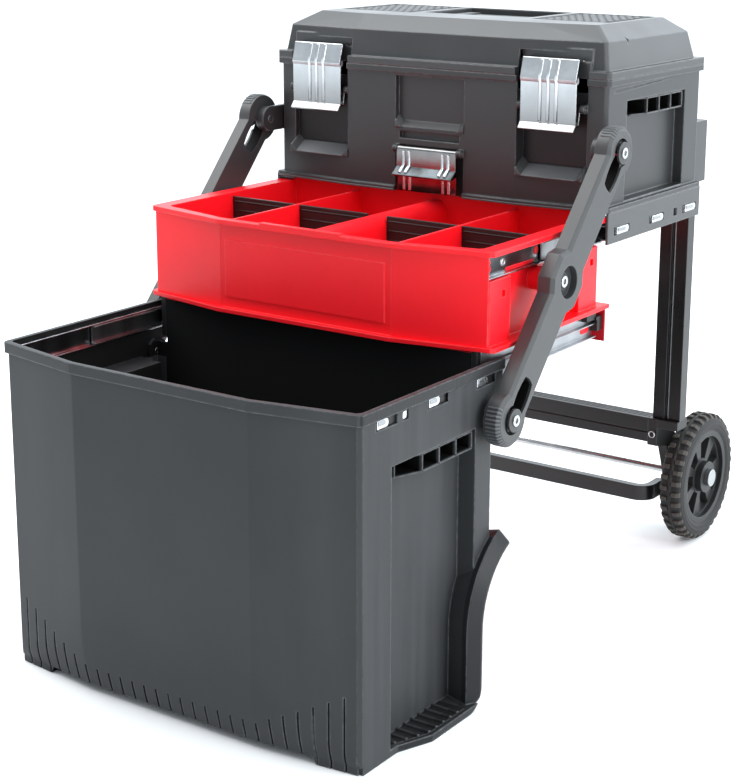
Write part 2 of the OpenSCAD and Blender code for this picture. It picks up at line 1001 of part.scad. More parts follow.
organiser_x = [90, box_w / 2 - 50];
organiser_y = [box_y + 78, box_rear - 42];
organiser_deep = 26;
cover_t = 4;
handle_x = 78;
handle_y = [box_y + 92, box_rear - 42];
handle_deep = 24;

module lid_shell() {
    color("#3c3e41")
    place()
    difference() {
        union() {
            difference() {
                union() {
                    lid_layer(0, 0, lid_rim_h);
                    lid_dome(0);
                }
                difference() {
                    translate([0, 0, -over])
                        lid_dome(wall);
                    both_sides()
                        block([organiser_x[0] - wall, organiser_x[1] + wall],
                            [organiser_y[0] - wall, organiser_y[1] + wall],
                            [lid_top - organiser_deep - wall, lid_top]);
                    block([-handle_x - wall, handle_x + wall], [handle_y[0] - wall, handle_y[1] + wall],
                        [lid_top - handle_deep - wall, lid_top]);
                }
                lid_latch_cuts();
            }
            lid_keepers();
        }
        both_sides()
            organiser_well();
        block([-handle_x, handle_x], handle_y, [lid_top - handle_deep, lid_top + over]);
        x_rod([-handle_x - wall - over, handle_x + wall + over], carry_pin_y, carry_pin_z,
            carry_pin_r + run_gap);
        both_sides()
            lid_notch();
    }
}

// Clearance for the latches in the lid's rim
module lid_latch_cuts() {
    both_sides()
        block([latch_x - 48, latch_x + 48], [0, box_y + 3.5], [seam_z - over, seam_z + 30]);
}

// Ridges that the latches hook over, with the lid's wall closed behind them
module lid_keepers() {
    both_sides()
        difference() {
            block([latch_x - 48, latch_x + 48], [box_y - 1, box_y + 12], [seam_z, seam_z + 34]);
            block([latch_x - 49, latch_x + 49], [0, box_y + 3], [seam_z + 19, seam_z + 40]);
        }
}

module lid_hinge_knuckles() {
    x = [hinge_x - 10 + slip_gap, hinge_x + 10 - slip_gap];
    color("#3c3e41")
    place()
    both_sides()
        difference() {
            union() {
                x_rod(x, hinge_y, seam_z, hinge_r);
                block(x, [box_rear + lip, hinge_y + hinge_r], [seam_z + face_gap, seam_z + lid_rim_h]);
            }
            x_rod([x[0] - over, x[1] + over], hinge_y, seam_z, hinge_pin_r + run_gap);
        }
}

// Well under a cover, with a rebate for the cover and holes for its stub pins
module organiser_well() {
    edge = 4;
    block([organiser_x[0] + edge, organiser_x[1] - edge], [organiser_y[0] + edge, organiser_y[1] - edge],
        [lid_top - organiser_deep, lid_top + over]);
    block(organiser_x, organiser_y, [lid_top - cover_t, lid_top + over]);
    x_rod([organiser_x[0] - 3, organiser_x[1] + 3], organiser_y[1] - cover_t, lid_top - cover_t / 2,
        1.5 + run_gap);
}

// Small V cut across the ridge on each side
module lid_notch() {
    translate([rim_out - ridge_in + 2.6, box_y + 62, lid_top - ridge_drop + 1.8])
        rotate([0, 55, 0])
            rotate([45, 0, 0])
                cube([30, 8, 8], center = true);
}

module right_organiser_cover() {
    round_r = cover_t / 2;
    y1 = organiser_y[1] - cover_t;
    z = lid_top - cover_t / 2;
    color("#46484b")
    place() {
        block([organiser_x[0] + slip_gap, organiser_x[1] - slip_gap], [organiser_y[0] + slip_gap, y1],
            [lid_top - cover_t, lid_top]);
        x_rod([organiser_x[0] + slip_gap, organiser_x[1] - slip_gap], y1, z, round_r);
        x_rod([organiser_x[0] - 2.5, organiser_x[1] + 2.5], y1, z, 1.5);
    }
}

module left_organiser_cover() {
    left_side()
        right_organiser_cover();
}

carry_t = 14;
carry_pin_r = 4;
carry_pin_y = handle_y[1] - 14;
carry_pin_z = lid_top - handle_deep / 2;

module carry_handle() {
    side = handle_x - 6;
    front = handle_y[0] + 8;
    z = [carry_pin_z - carry_t / 2, carry_pin_z + carry_t / 2];
    color("#2f3133")
    place() {
        block([-side, side], [front, front + 24], z);
        both_sides() {
            block([side - 16, side], [front, carry_pin_y], z);
            x_rod([side - 16, side], carry_pin_y, carry_pin_z, carry_t / 2);
            x_rod([side - 1, handle_x + wall], carry_pin_y, carry_pin_z, carry_pin_r);
        }
    }
}

// Latches

plate_y = latch_face_y + sheet_t;
plate_pin_z = bail_z - bail_drop;
plate_pin_y = plate_y + 4.5;

// Bent plate: hook over the lid's ridge, face, and lip curled outwards below
module latch_outline() {
    t = sheet_t;
    y = latch_face_y;
    hook_z = seam_z + 21;
    polygon([
        [box_y + 1, hook_z - 1.5], [box_y + 1, hook_z + t], [y + 5, hook_z + t], [y - 2, seam_z - 2],
        [y, seam_z - 4], [y, seam_z - 54], [y - 6, seam_z - 62], [y - 6 + t, seam_z - 63.5],
        [y + t, seam_z - 55], [y + t, seam_z - 3], [y + 5 + t, hook_z], [box_y + 1 - t, hook_z],
        [box_y + 1 - t, hook_z - 1.5]
    ]);
}

module right_latch_plate() {
    color("#c8ccd0")
    place()
    difference() {
        union() {
            side_slab(latch_x - latch_w / 2, latch_x + latch_w / 2)
                latch_outline();
            for (x = [latch_x - latch_w / 2, latch_x + latch_w / 2 - 14]) {
                x_rod([x, x + 14], plate_pin_y, plate_pin_z, 3.2);
                block([x, x + 14], [plate_y - 0.5, plate_pin_y], [plate_pin_z - 3.2, plate_pin_z + 3.2]);
            }
        }
        x_rod([latch_x - latch_w, latch_x + latch_w], plate_pin_y, plate_pin_z, bail_r + run_gap);
    }
}

module left_latch_plate() {
    left_side()
        right_latch_plate();
}

// Wire bail: a rod through the plate's barrels, two links and two stubs in the box's bosses
module right_latch_bail() {
    arm_x = latch_w / 2 + 1;
    color("#d8dbde")
    place() {
        x_rod([latch_x - arm_x, latch_x + arm_x], plate_pin_y, plate_pin_z, bail_r);
        for (s = [-1, 1]) {
            x_rod([latch_x + s * (arm_x + 3) - 4, latch_x + s * (arm_x + 3) + 4], bail_y, bail_z, bail_r);
            side_slab(latch_x + s * arm_x - 0.8, latch_x + s * arm_x + 0.8)
                bail_link();
        }
    }
}

module bail_link() {
    r = bail_r + 0.5;
    translate([bail_y, bail_z])
        circle(r);
    translate([plate_pin_y, plate_pin_z])
        circle(r);
    polygon([
        [bail_y - r, bail_z], [bail_y + r, bail_z],
        [plate_pin_y + r, plate_pin_z], [plate_pin_y - r, plate_pin_z]
    ]);
}

module left_latch_bail() {
    left_side()
        right_latch_bail();
}

// Centre latch: an upper leaf, an angled lip and a lower leaf
module centre_latch() {
    t = sheet_t;
    y = centre_pin_y;
    z = centre_pin_z;
    color("#b9bdc0")
    place()
    difference() {
        union() {
            side_slab(-centre_latch_w / 2, centre_latch_w / 2)
                polygon([
                    [y - 4, z], [y - 4, z - 22], [y - 15, z - 31], [y - 14, z - 33], [y - 2, z - 29],
                    [y - 2, z - 53], [y - 2 + t, z - 53], [y - 2 + t, z - 25], [y - 4 + t, z - 21],
                    [y - 4 + t, z]
                ]);
            x_rod([-centre_latch_w / 2, centre_latch_w / 2], y, z, 4);
        }
        x_rod([-centre_latch_w, centre_latch_w], y, z, 2 + run_gap);
    }
}

// Rear frame

module post_profile() {
    for (x = [post_in, post_out - barrel_w])
        translate([x, post_y])
            square([barrel_w, post_d]);
    translate([post_in, post_y + 4])
        square([post_out - post_in, post_d - 4]);
}

rod_w = barrel_w - 5;
rod_x = post_in + barrel_w / 2;
rod_y = post_y + post_d / 2;

module right_post() {
    bore = rod_w + 2 * slip_gap;
    color("#26272a")
    place()
    difference() {
        translate([0, 0, cross_z])
            linear_extrude(post_top - cross_z)
                post_profile();
        block([rod_x - bore / 2, rod_x + bore / 2], [rod_y - bore / 2, rod_y + bore / 2],
            [cross_z + 4, post_top + over]);
    }
}

module left_post() {
    left_side()
        right_post();
}

// Grey saddle between the box's rear wall and a post
module right_post_bracket() {
    color("#5a5d60")
    place()
    difference() {
        block([post_in - 6, post_out + 5], [box_rear, post_y + post_d + 14], [box_z + 2, post_top]);
        translate([0, 0, box_z])
            linear_extrude(post_top)
                post_profile();
    }
}

module left_post_bracket() {
    left_side()
        right_post_bracket();
}

module cross_bar() {
    y0 = post_y - 6;
    y1 = post_y + post_d;
    color("#242528")
    place()
    difference() {
        block([-bracket_in, bracket_in], [y0, y1], [cross_z - cross_h, cross_z]);
        for (y = [y0 + 6, y0 + 12, y0 + 18])
            block([-bracket_in - over, bracket_in + over], [y, y + 2], [cross_z - 1.5, cross_z + over]);
        block([-bracket_in - over, bracket_in + over], [y0 - over, y0 + 1.5],
            [cross_z - cross_h / 2 - 4, cross_z - cross_h / 2 - 2]);
    }
}

// Foot that carries the post and the cross bar, and runs down and back to the axle
module right_axle_bracket() {
    y0 = post_y - 6;
    y1 = post_y + post_d + 4;
    color("#2b2c2f")
    place()
    difference() {
        union() {
            side_slab(bracket_in, bracket_out)
                polygon([
                    [y0, cross_z], [y1, cross_z], [axle_y + 15, wheel_r + 12], [axle_y + 15, wheel_r - 12],
                    [axle_y, wheel_r - 18], [y0 + 26, kick_z - kick_h], [y0 + 8, kick_z - kick_h],
                    [y0 + 8, cross_z - cross_h - 8], [y0, cross_z - cross_h]
                ]);
            block([bracket_in, post_out], [y0, y1], [cross_z - 12, cross_z]);
        }
        x_rod([bracket_in - over, bracket_out + over], axle_y, wheel_r, axle_r + run_gap);
    }
}

module left_axle_bracket() {
    left_side()
        right_axle_bracket();
}

// Low bar across the front of the wheels, with its ends turned back to the brackets
module kick_bar() {
    y0 = post_y + 2;
    t = 11;
    turn_r = 24;
    color("#29292b")
    place()
        translate([0, 0, kick_z - kick_h])
            linear_extrude(kick_h) {
                translate([-bracket_in + turn_r, y0])
                    square([2 * (bracket_in - turn_r), t]);
                for (s = [0, 1])
                    mirror([s, 0])
                        kick_bar_end(y0, t, turn_r);
            }
}

module kick_bar_end(y0, t, turn_r) {
    translate([bracket_in - turn_r, y0 + turn_r])
        intersection() {
            difference() {
                circle(turn_r);
                circle(turn_r - t);
            }
            translate([0, -turn_r])
                square(turn_r);
        }
    translate([bracket_in - t, y0 + turn_r])
        square([t, 26]);
}

module axle() {
    color("#b4b7b9")
    place()
        x_rod([-wheel_out - 5, wheel_out + 5], axle_y, wheel_r, axle_r);
}

module axle_caps() {
    color("#dfe2e4")
    place()
        both_sides()
            difference() {
                x_rod([wheel_out + slip_gap, wheel_out + 7], axle_y, wheel_r, axle_r + 6);
                x_rod([wheel_out, wheel_out + 5], axle_y, wheel_r, axle_r + run_gap);
            }
}

// Screws through the cross bar's front face into the brackets' feet
module frame_screws() {
    color("#c4c7c9")
    place()
        both_sides()
            translate([bracket_in + 7, post_y - 6, cross_z - 22])
                rotate([90, 0, 0])
                    cylinder(h = 2, r = 5);
}

module right_tyre() {
    shoulder = 8;
    in_x = wheel_in;
    color("#3a3a3c")
    place()
        translate([in_x, axle_y, wheel_r])
            rotate([0, 90, 0])
                rotate_extrude($fn = 96)
                    polygon([
                        [hub_out_r, 3], [hub_out_r + shoulder, 0], [wheel_r - shoulder, 0],
                        [wheel_r - 2, 4], [wheel_r, shoulder], [wheel_r, wheel_w - shoulder],
                        [wheel_r - 2, wheel_w - 4], [wheel_r - shoulder, wheel_w],
                        [hub_out_r + shoulder, wheel_w], [hub_out_r, wheel_w - 3]
                    ]);
}

module left_tyre() {
    left_side()
        right_tyre();
}

spokes = 7;

module hub_windows() {
    angle = 360 / spokes;
    for (i = [0 : spokes - 1])
        rotate(i * angle)
            intersection() {
                difference() {
                    circle(hub_out_r - 11);
                    circle(25);
                }
                polygon(2 * hub_out_r * [[0, 0], [1, 0], [cos(0.6 * angle), sin(0.6 * angle)]]);
            }
}

module right_hub() {
    color("#4b4d50")
    place()
        translate([wheel_in, axle_y, wheel_r])
            rotate([0, 90, 0])
                difference() {
                    union() {
                        translate([0, 0, 3])
                            linear_extrude(wheel_w - 6)
                                difference() {
                                    circle(hub_out_r);
                                    circle(hub_out_r - 8);
                                }
                        translate([0, 0, wheel_w / 2 - 5])
                            linear_extrude(12)
                                difference() {
                                    circle(hub_out_r - 6);
                                    hub_windows();
                                }
                        cylinder(h = wheel_w, r = 22);
                    }
                    translate([0, 0, -over])
                        cylinder(h = wheel_w + 2 * over, r = axle_r + run_gap);
                }
}

module left_hub() {
    left_side()
        right_hub();
}

// Pull handle, pushed down behind the box

module pull_handle_rods() {
    color("#8f9294")
    place()
        both_sides()
            block([rod_x - rod_w / 2, rod_x + rod_w / 2], [rod_y - rod_w / 2, rod_y + rod_w / 2],
                [cross_z + 24, grip_z + 8]);
}

module pull_handle_grip() {
    y0 = rod_y + rod_w / 2 + 4;
    color("#1f2022")
    place()
    difference() {
        union() {
            block([-rod_x - 12, rod_x + 12], [y0, y0 + 22], [grip_z, grip_z + 20]);
            both_sides()
                block([rod_x - 12, rod_x + 12], [rod_y - 8.5, y0 + 22], [grip_z, grip_z + 20]);
        }
        both_sides()
            block([rod_x - rod_w / 2, rod_x + rod_w / 2], [rod_y - rod_w / 2, rod_y + rod_w / 2],
                [grip_z - over, grip_z + 8]);
    }
}

bin_body();
left_bin_rail();
right_bin_rail();
bin_arm_screws();
bin_arm_washers();
tray_body();
tray_partitions();
left_tray_upper_rail();
right_tray_upper_rail();
left_tray_lower_rail();
right_tray_lower_rail();
rail_bumpers();
tray_arm_screws();
left_upper_middle_rail();
right_upper_middle_rail();
left_lower_middle_rail();
right_lower_middle_rail();
outer_left_divider();
inner_left_divider();
inner_right_divider();
outer_right_divider();
left_arm();
right_arm();
box_body();
box_skirts();
box_arm_lugs();
left_box_rail();
right_box_rail();
box_arm_screws();
box_arm_washers();
box_hinge_knuckles();
lid_hinge_pins();
centre_latch_pin();
left_post_bracket();
right_post_bracket();
left_post();
right_post();
cross_bar();
kick_bar();
left_axle_bracket();
right_axle_bracket();
axle();
axle_caps();
frame_screws();
left_tyre();
left_hub();
right_tyre();
right_hub();
pull_handle_rods();
pull_handle_grip();
lid_shell();
lid_hinge_knuckles();
carry_handle();
left_organiser_cover();
right_organiser_cover();
left_latch_bail();
left_latch_plate();
right_latch_bail();
right_latch_plate();
centre_latch();
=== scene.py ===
import math

import bmesh
import bpy
from mathutils import Matrix, Vector


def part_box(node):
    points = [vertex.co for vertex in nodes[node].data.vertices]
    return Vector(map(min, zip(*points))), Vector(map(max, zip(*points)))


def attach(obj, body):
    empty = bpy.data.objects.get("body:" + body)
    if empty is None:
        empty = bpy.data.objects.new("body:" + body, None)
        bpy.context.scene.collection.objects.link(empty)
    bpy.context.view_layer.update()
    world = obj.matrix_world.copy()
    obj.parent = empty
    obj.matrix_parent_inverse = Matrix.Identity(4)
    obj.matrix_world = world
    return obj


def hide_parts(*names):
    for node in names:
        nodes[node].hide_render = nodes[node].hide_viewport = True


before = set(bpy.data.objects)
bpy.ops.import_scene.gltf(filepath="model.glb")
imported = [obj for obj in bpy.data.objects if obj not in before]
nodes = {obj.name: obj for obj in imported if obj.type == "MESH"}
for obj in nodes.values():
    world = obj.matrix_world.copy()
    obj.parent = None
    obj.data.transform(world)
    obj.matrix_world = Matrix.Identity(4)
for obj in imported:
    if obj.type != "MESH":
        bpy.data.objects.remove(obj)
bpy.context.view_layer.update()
scene = bpy.context.scene
sides = ("left", "right")
SIGN = {"left": -1, "right": 1}

# Sizes are in millimetres with y = 0 at the bin's front corners, and become the frame's metres here
MID_Y = 456.25


def at(x, y, z):
    return Vector((x / 1000, (y - MID_Y) / 1000, z / 1000))


def node_mm(name):
    lo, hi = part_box(name)
    lo, hi = lo * 1000, hi * 1000
    return Vector((lo.x, lo.y + MID_Y, lo.z)), Vector((hi.x, hi.y + MID_Y, hi.z))


# Shader groups


FLOAT, VECTOR = "NodeSocketFloat", "NodeSocketVector"


def new_group(name, inputs, outputs):
    group = bpy.data.node_groups.new(name, "ShaderNodeTree")
    for label, kind, value in inputs:
        socket = group.interface.new_socket(label, in_out="INPUT", socket_type=kind)
        socket.default_value = value
    for label, kind in outputs:
        group.interface.new_socket(label, in_out="OUTPUT", socket_type=kind)
    enter = group.nodes.new("NodeGroupInput").outputs
    leave = group.nodes.new("NodeGroupOutput").inputs
    return group, enter, leave


def feed(tree, slot, value):
    if isinstance(value, (int, float, tuple)):
        slot.default_value = value
    else:
        tree.links.new(value, slot)


def maths(tree, operation, *values, clamp=False):
    node = tree.nodes.new("ShaderNodeMath")
    node.operation = operation
    node.use_clamp = clamp
    for slot, value in zip(node.inputs, values):
        feed(tree, slot, value)
    return node.outputs[0]


def vector_maths(tree, operation, a, b):
    node = tree.nodes.new("ShaderNodeVectorMath")
    node.operation = operation
    feed(tree, node.inputs[0], a)
    feed(tree, node.inputs[1], b)
    return node.outputs["Value" if operation == "DOT_PRODUCT" else "Vector"]


def noise(tree, vector, scale, detail=2.0, rough=0.5):
    node = tree.nodes.new("ShaderNodeTexNoise")
    node.inputs["Detail"].default_value = detail
    node.inputs["Roughness"].default_value = rough
    feed(tree, node.inputs["Scale"], scale)
    tree.links.new(vector, node.inputs["Vector"])
    return node.outputs["Fac"]


def ramp(tree, value, low, high):
    node = tree.nodes.new("ShaderNodeMapRange")
    node.clamp = True
    feed(tree, node.inputs["From Min"], low)
    feed(tree, node.inputs["From Max"], high)
    tree.links.new(value, node.inputs["Value"])
    return node.outputs["Result"]


def object_place(tree):
    return tree.nodes.new("ShaderNodeTexCoord").outputs["Object"]


# Fine pits, a broad mottle, and streaks drawn up the mould's walls, which also paint streaks of sheen
def build_moulded_grain():
    group, enter, leave = new_group(
        "moulded_grain",
        [("Grain Scale", FLOAT, 900.0), ("Mottle Scale", FLOAT, 14.0)],
        [("Height", FLOAT), ("Mottle", FLOAT), ("Drawn", FLOAT)],
    )
    place = object_place(group)
    fine = noise(group, place, enter["Grain Scale"], 3.0, 0.6)
    cells = group.nodes.new("ShaderNodeTexVoronoi")
    group.links.new(place, cells.inputs["Vector"])
    group.links.new(enter["Grain Scale"], cells.inputs["Scale"])
    pits = maths(group, "MULTIPLY", cells.outputs["Distance"], 0.5)
    group.links.new(maths(group, "MULTIPLY_ADD", fine, 0.6, pits), leave["Height"])
    broad = noise(group, place, enter["Mottle Scale"], 4.0, 0.55)
    group.links.new(ramp(group, broad, 0.3, 0.7), leave["Mottle"])
    upright = vector_maths(group, "MULTIPLY", place, (0.0, 1.0, 0.03))
    drawn = noise(group, upright, 70.0, 3.0, 0.5)
    group.links.new(ramp(group, drawn, 0.3, 0.7), leave["Drawn"])
    return group


# Wear and a painted highlight that lighten rounded edges, and the rounded normal itself
def build_soft_edges():
    group, enter, leave = new_group(
        "soft_edges",
        [("Breakup Scale", FLOAT, 120.0), ("Round", FLOAT, 0.0016)],
        [("Edge", FLOAT), ("Normal", VECTOR)],
    )
    bevel = group.nodes.new("ShaderNodeBevel")
    bevel.samples = 6
    group.links.new(enter["Round"], bevel.inputs["Radius"])
    flat = group.nodes.new("ShaderNodeNewGeometry").outputs["Normal"]
    alike = vector_maths(group, "DOT_PRODUCT", bevel.outputs["Normal"], flat)
    bend = maths(group, "SUBTRACT", 1.0, alike)
    place = object_place(group)
    wear_and_highlight = ramp(group, noise(group, place, enter["Breakup Scale"], 4.0, 0.6), 0.25, 0.75)
    edge = maths(group, "MULTIPLY", ramp(group, bend, 0.01, 0.18), wear_and_highlight, clamp=True)
    group.links.new(edge, leave["Edge"])
    group.links.new(bevel.outputs["Normal"], leave["Normal"])
    return group


# Brush streaks, and bands of a second tone
def build_brushed_steel():
    group, enter, leave = new_group(
        "brushed_steel",
        [
            ("Stretch", VECTOR, (1.0, 1.0, 1.0)),
            ("Bands", VECTOR, (1.0, 1.0, 1.0)),
            ("Scale", FLOAT, 40.0),
        ],
        [("Streak", FLOAT), ("Stain", FLOAT)],
    )
    place = object_place(group)
    streaks = vector_maths(group, "MULTIPLY", place, enter["Stretch"])
    group.links.new(noise(group, streaks, enter["Scale"], 5.0, 0.65), leave["Streak"])
    bands = vector_maths(group, "MULTIPLY", place, enter["Bands"])
    stain = ramp(group, noise(group, bands, 35.0, 3.0, 0.5), 0.35, 0.65)
    group.links.new(stain, leave["Stain"])
    return group


# Faces that look in on a hollow, and what lies beyond a reach to either side
def build_inside_faces():
    group, enter, leave = new_group(
        "inside_faces",
        [
            ("Centre", VECTOR, (0.0, 0.0, 0.0)),
            ("Floor", FLOAT, 0.0),
            ("Half", FLOAT, 0.0),
            ("Reach", FLOAT, 1.0),
        ],
        [("Inside", FLOAT), ("Beyond", FLOAT)],
    )
    coords = group.nodes.new("ShaderNodeTexCoord").outputs
    away = vector_maths(group, "SUBTRACT", coords["Object"], enter["Centre"])
    facing = vector_maths(group, "DOT_PRODUCT", away, coords["Normal"])
    inward = maths(group, "LESS_THAN", facing, -0.005)
    split = group.nodes.new("ShaderNodeSeparateXYZ")
    group.links.new(coords["Object"], split.inputs[0])
    above = maths(group, "GREATER_THAN", split.outputs["Z"], enter["Floor"])
    aside = maths(group, "ABSOLUTE", split.outputs["X"])
    within = maths(group, "LESS_THAN", aside, enter["Half"])
    group.links.new(maths(group, "GREATER_THAN", aside, enter["Reach"]), leave["Beyond"])
    hollow = maths(group, "MAXIMUM", above, within)
    group.links.new(maths(group, "MULTIPLY", inward, hollow), leave["Inside"])
    return group


# A mask that rises from a low level to a high one
def build_height_fade():
    group, enter, leave = new_group(
        "height_fade",
        [("Low", FLOAT, 0.0), ("High", FLOAT, 1.0)],
        [("Rise", FLOAT)],
    )
    split = group.nodes.new("ShaderNodeSeparateXYZ")
    group.links.new(object_place(group), split.inputs[0])
    group.links.new(ramp(group, split.outputs["Z"], enter["Low"], enter["High"]), leave["Rise"])
    return group


moulded_grain = build_moulded_grain()
inside_faces = build_inside_faces()
height_fade = build_height_fade()
soft_edges = build_soft_edges()
brushed_steel = build_brushed_steel()


# Materials


def place_group(tree, group, **values):
    node = tree.nodes.new("ShaderNodeGroup")
    node.node_tree = group
    for label, value in values.items():
        node.inputs[label.replace("_", " ").title()].default_value = value
    return node


def mix_colour(tree, fac, a, b):
    node = tree.nodes.new("ShaderNodeMix")
    node.data_type = "RGBA"
    tree.links.new(fac, node.inputs["Factor"])
    for slot, value in ((node.inputs[6], a), (node.inputs[7], b)):
        feed(tree, slot, (*value, 1.0) if isinstance(value, tuple) else value)
    return node.outputs[2]


def bare_material(name):
    mat = bpy.data.materials.new(name)
    mat.use_nodes = True
    tree = mat.node_tree
    tree.nodes.clear()
    out = tree.nodes.new("ShaderNodeOutputMaterial")
    shader = tree.nodes.new("ShaderNodeBsdfPrincipled")
    tree.links.new(shader.outputs["BSDF"], out.inputs["Surface"])
    return mat, tree, shader


def add_relief(tree, shader, height, normal, strength, distance):
    bump = tree.nodes.new("ShaderNodeBump")
    bump.inputs["Strength"].default_value = strength
    bump.inputs["Distance"].default_value = distance
    tree.links.new(height, bump.inputs["Height"])
    tree.links.new(normal, bump.inputs["Normal"])
    tree.links.new(bump.outputs["Normal"], shader.inputs["Normal"])


def grey(value, cool=0.0):
    return (value * (1 - cool), value, value * (1 + cool))


# Each finish is filed under its name
finish = {}
# The bin's fenders are painted darker as shade and are smoother than its walls, and its hollow is painted
# near black as shade and made dull
FENDER_SHADE, FENDER_ROUGH, HOLLOW_SHADE, HOLLOW_ROUGH = 0.55, -0.16, 0.006, 0.4


def moulded_plastic(name, colour, rough, wear_and_highlight, grain=900.0, depth=0.00006, vary=0.1, gloss=0.5, drawn=0.0,
                    patch=0.1, edge=0.0016, hollow=None):
    mat, tree, shader = bare_material(name)
    shader.inputs["Specular IOR Level"].default_value = gloss
    surface = place_group(tree, moulded_grain, grain_scale=grain)
    edges = place_group(tree, soft_edges, round=edge)
    dark = tuple(c * (1 - vary) for c in colour)
    light = tuple(min(1.0, c * (1 + vary)) for c in colour)
    # The drawn streaks shift the colour as painted sheen, on top of the random mottle
    mottle = maths(tree, "MULTIPLY", surface.outputs["Mottle"], 1 - drawn)
    shade = maths(tree, "MULTIPLY_ADD", surface.outputs["Drawn"], drawn, mottle)
    body = mix_colour(tree, shade, dark, light)
    # Rounded edges are lightened, partly as wear and partly as a painted highlight
    paint = mix_colour(tree, edges.outputs["Edge"], body, wear_and_highlight)
    uneven = maths(tree, "MULTIPLY_ADD", shade, patch, rough - patch / 2)
    # Painted shade: faces inside the hollow go near black, and the fenders go darker
    if hollow:
        centre, floor, half, reach = hollow
        zone = place_group(tree, inside_faces, centre=centre, floor=floor, half=half, reach=reach).outputs
        flare = mix_colour(tree, edges.outputs["Edge"], tuple(c * FENDER_SHADE for c in colour), wear_and_highlight)
        paint = mix_colour(tree, zone["Beyond"], paint, flare)
        uneven = maths(tree, "MULTIPLY_ADD", zone["Beyond"], FENDER_ROUGH, uneven)
        paint = mix_colour(tree, zone["Inside"], paint, grey(HOLLOW_SHADE))
        uneven = maths(tree, "MULTIPLY_ADD", zone["Inside"], HOLLOW_ROUGH, uneven, clamp=True)
    tree.links.new(paint, shader.inputs["Base Color"])
    tree.links.new(uneven, shader.inputs["Roughness"])
    add_relief(tree, shader, surface.outputs["Height"], edges.outputs["Normal"], 0.5, depth)
    finish[name] = mat


def plated_metal(name, colour, rough, stretch, stain, scale=40.0, spread=0.15, bands=(1.0, 1.0, 1.0),
                 fade=None):
    mat, tree, shader = bare_material(name)
    shader.inputs["Metallic"].default_value = 1.0
    brushed = place_group(tree, brushed_steel, scale=scale, stretch=stretch, bands=bands)
    edges = place_group(tree, soft_edges)
    tint = mix_colour(tree, brushed.outputs["Stain"], stain, colour)
    # Rounded edges of the metal are painted brighter as a highlight
    bright = tuple(min(1.0, c * 1.15) for c in colour)
    paint = mix_colour(tree, edges.outputs["Edge"], tint, bright)
    # Below a given height the metal is painted darker as a reflection
    if fade:
        low, high, reflection_shade = fade
        rise = place_group(tree, height_fade, low=low, high=high).outputs["Rise"]
        paint = mix_colour(tree, rise, reflection_shade, paint)
    tree.links.new(paint, shader.inputs["Base Color"])
    uneven = maths(tree, "MULTIPLY_ADD", brushed.outputs["Streak"], spread, rough - spread / 2)
    tree.links.new(uneven, shader.inputs["Roughness"])
    add_relief(tree, shader, brushed.outputs["Streak"], edges.outputs["Normal"], 0.12, 0.0001)
    finish[name] = mat


# Streaks run along a slide, up a latch or round a screw
ALONG, UPRIGHT, ROUND_ABOUT = (30.0, 1.0, 30.0), (1.0, 1.0, 14.0), (1.0, 30.0, 30.0)
# A slide's bright and dull bands lie across it
ACROSS = (0.1, 1.0, 0.1)
BROAD_EDGE = 0.003
# The bin's middle, the height its whole inside starts at, half its hollow and where its fenders begin
BIN_HOLLOW = (at(0, 136, 200), 0.323, 0.2244, 0.2476)

moulded_plastic(
    "bin_plastic", grey(0.038, 0.04), 0.44, grey(0.17, 0.04), vary=0.2, gloss=0.14, drawn=0.8,
    patch=0.06, edge=BROAD_EDGE, hollow=BIN_HOLLOW,
)
moulded_plastic(
    "box_plastic", grey(0.03, 0.03), 0.36, grey(0.17, 0.03), gloss=0.4, drawn=0.5, edge=BROAD_EDGE
)
moulded_plastic("lid_plastic", grey(0.036, 0.03), 0.34, grey(0.2, 0.03), edge=BROAD_EDGE)
moulded_plastic("skirt_plastic", grey(0.05, 0.03), 0.42, grey(0.13, 0.03), edge=BROAD_EDGE)
moulded_plastic("arm_plastic", grey(0.038, 0.03), 0.4, grey(0.13, 0.03))
moulded_plastic("frame_plastic", grey(0.007), 0.42, grey(0.04))
moulded_plastic(
    "red_plastic", (0.9, 0.008, 0.016), 0.36, (0.95, 0.12, 0.13), grain=1400.0, depth=0.00002,
    vary=0.03, gloss=0.26, patch=0.03,
)
# A darker copy of the tray's red, painted as shade
moulded_plastic("shaded_red", (0.36, 0.004, 0.01), 0.45, (0.5, 0.02, 0.03), gloss=0.25)
moulded_plastic("black_plastic", grey(0.012), 0.42, grey(0.05), gloss=0.35)
# Near-black sheets in slots, pockets and grooves, as painted shade
moulded_plastic("shade_black", grey(0.004), 0.7, grey(0.006), gloss=0.1)
moulded_plastic("handle_grey", grey(0.05, 0.03), 0.45, grey(0.13, 0.03))
moulded_plastic("cover_plastic", grey(0.08, 0.03), 0.5, grey(0.2, 0.03))
# The near-black base between the covers' hexagons is painted shade
moulded_plastic("cover_groove_shade", grey(0.014, 0.03), 0.6, grey(0.08, 0.03), gloss=0.25)
# A lighter plastic for ledges, the box's lip and the arm ridges, as a painted highlight
moulded_plastic("highlight_plastic", grey(0.09, 0.05), 0.4, grey(0.16, 0.04), edge=BROAD_EDGE)
moulded_plastic("hub_plastic", grey(0.019, 0.02), 0.42, grey(0.07), gloss=0.26)
moulded_plastic(
    "tyre_rubber", grey(0.021), 0.6, (0.07, 0.066, 0.06), grain=700.0, depth=0.0001, gloss=0.24
)
moulded_plastic(
    "tread_rubber", (0.052, 0.047, 0.042), 0.65, (0.12, 0.105, 0.09), grain=700.0, depth=0.0001,
    vary=0.3, gloss=0.3,
)
moulded_plastic("washer_grey", grey(0.026, 0.03), 0.36, grey(0.13, 0.03))
moulded_plastic("tube_paint", grey(0.006), 0.3, grey(0.05), grain=1500.0, depth=0.00002)
plated_metal("zinc_rail", grey(0.6, 0.03), 0.2, ALONG, grey(0.22, 0.06), bands=ACROSS)
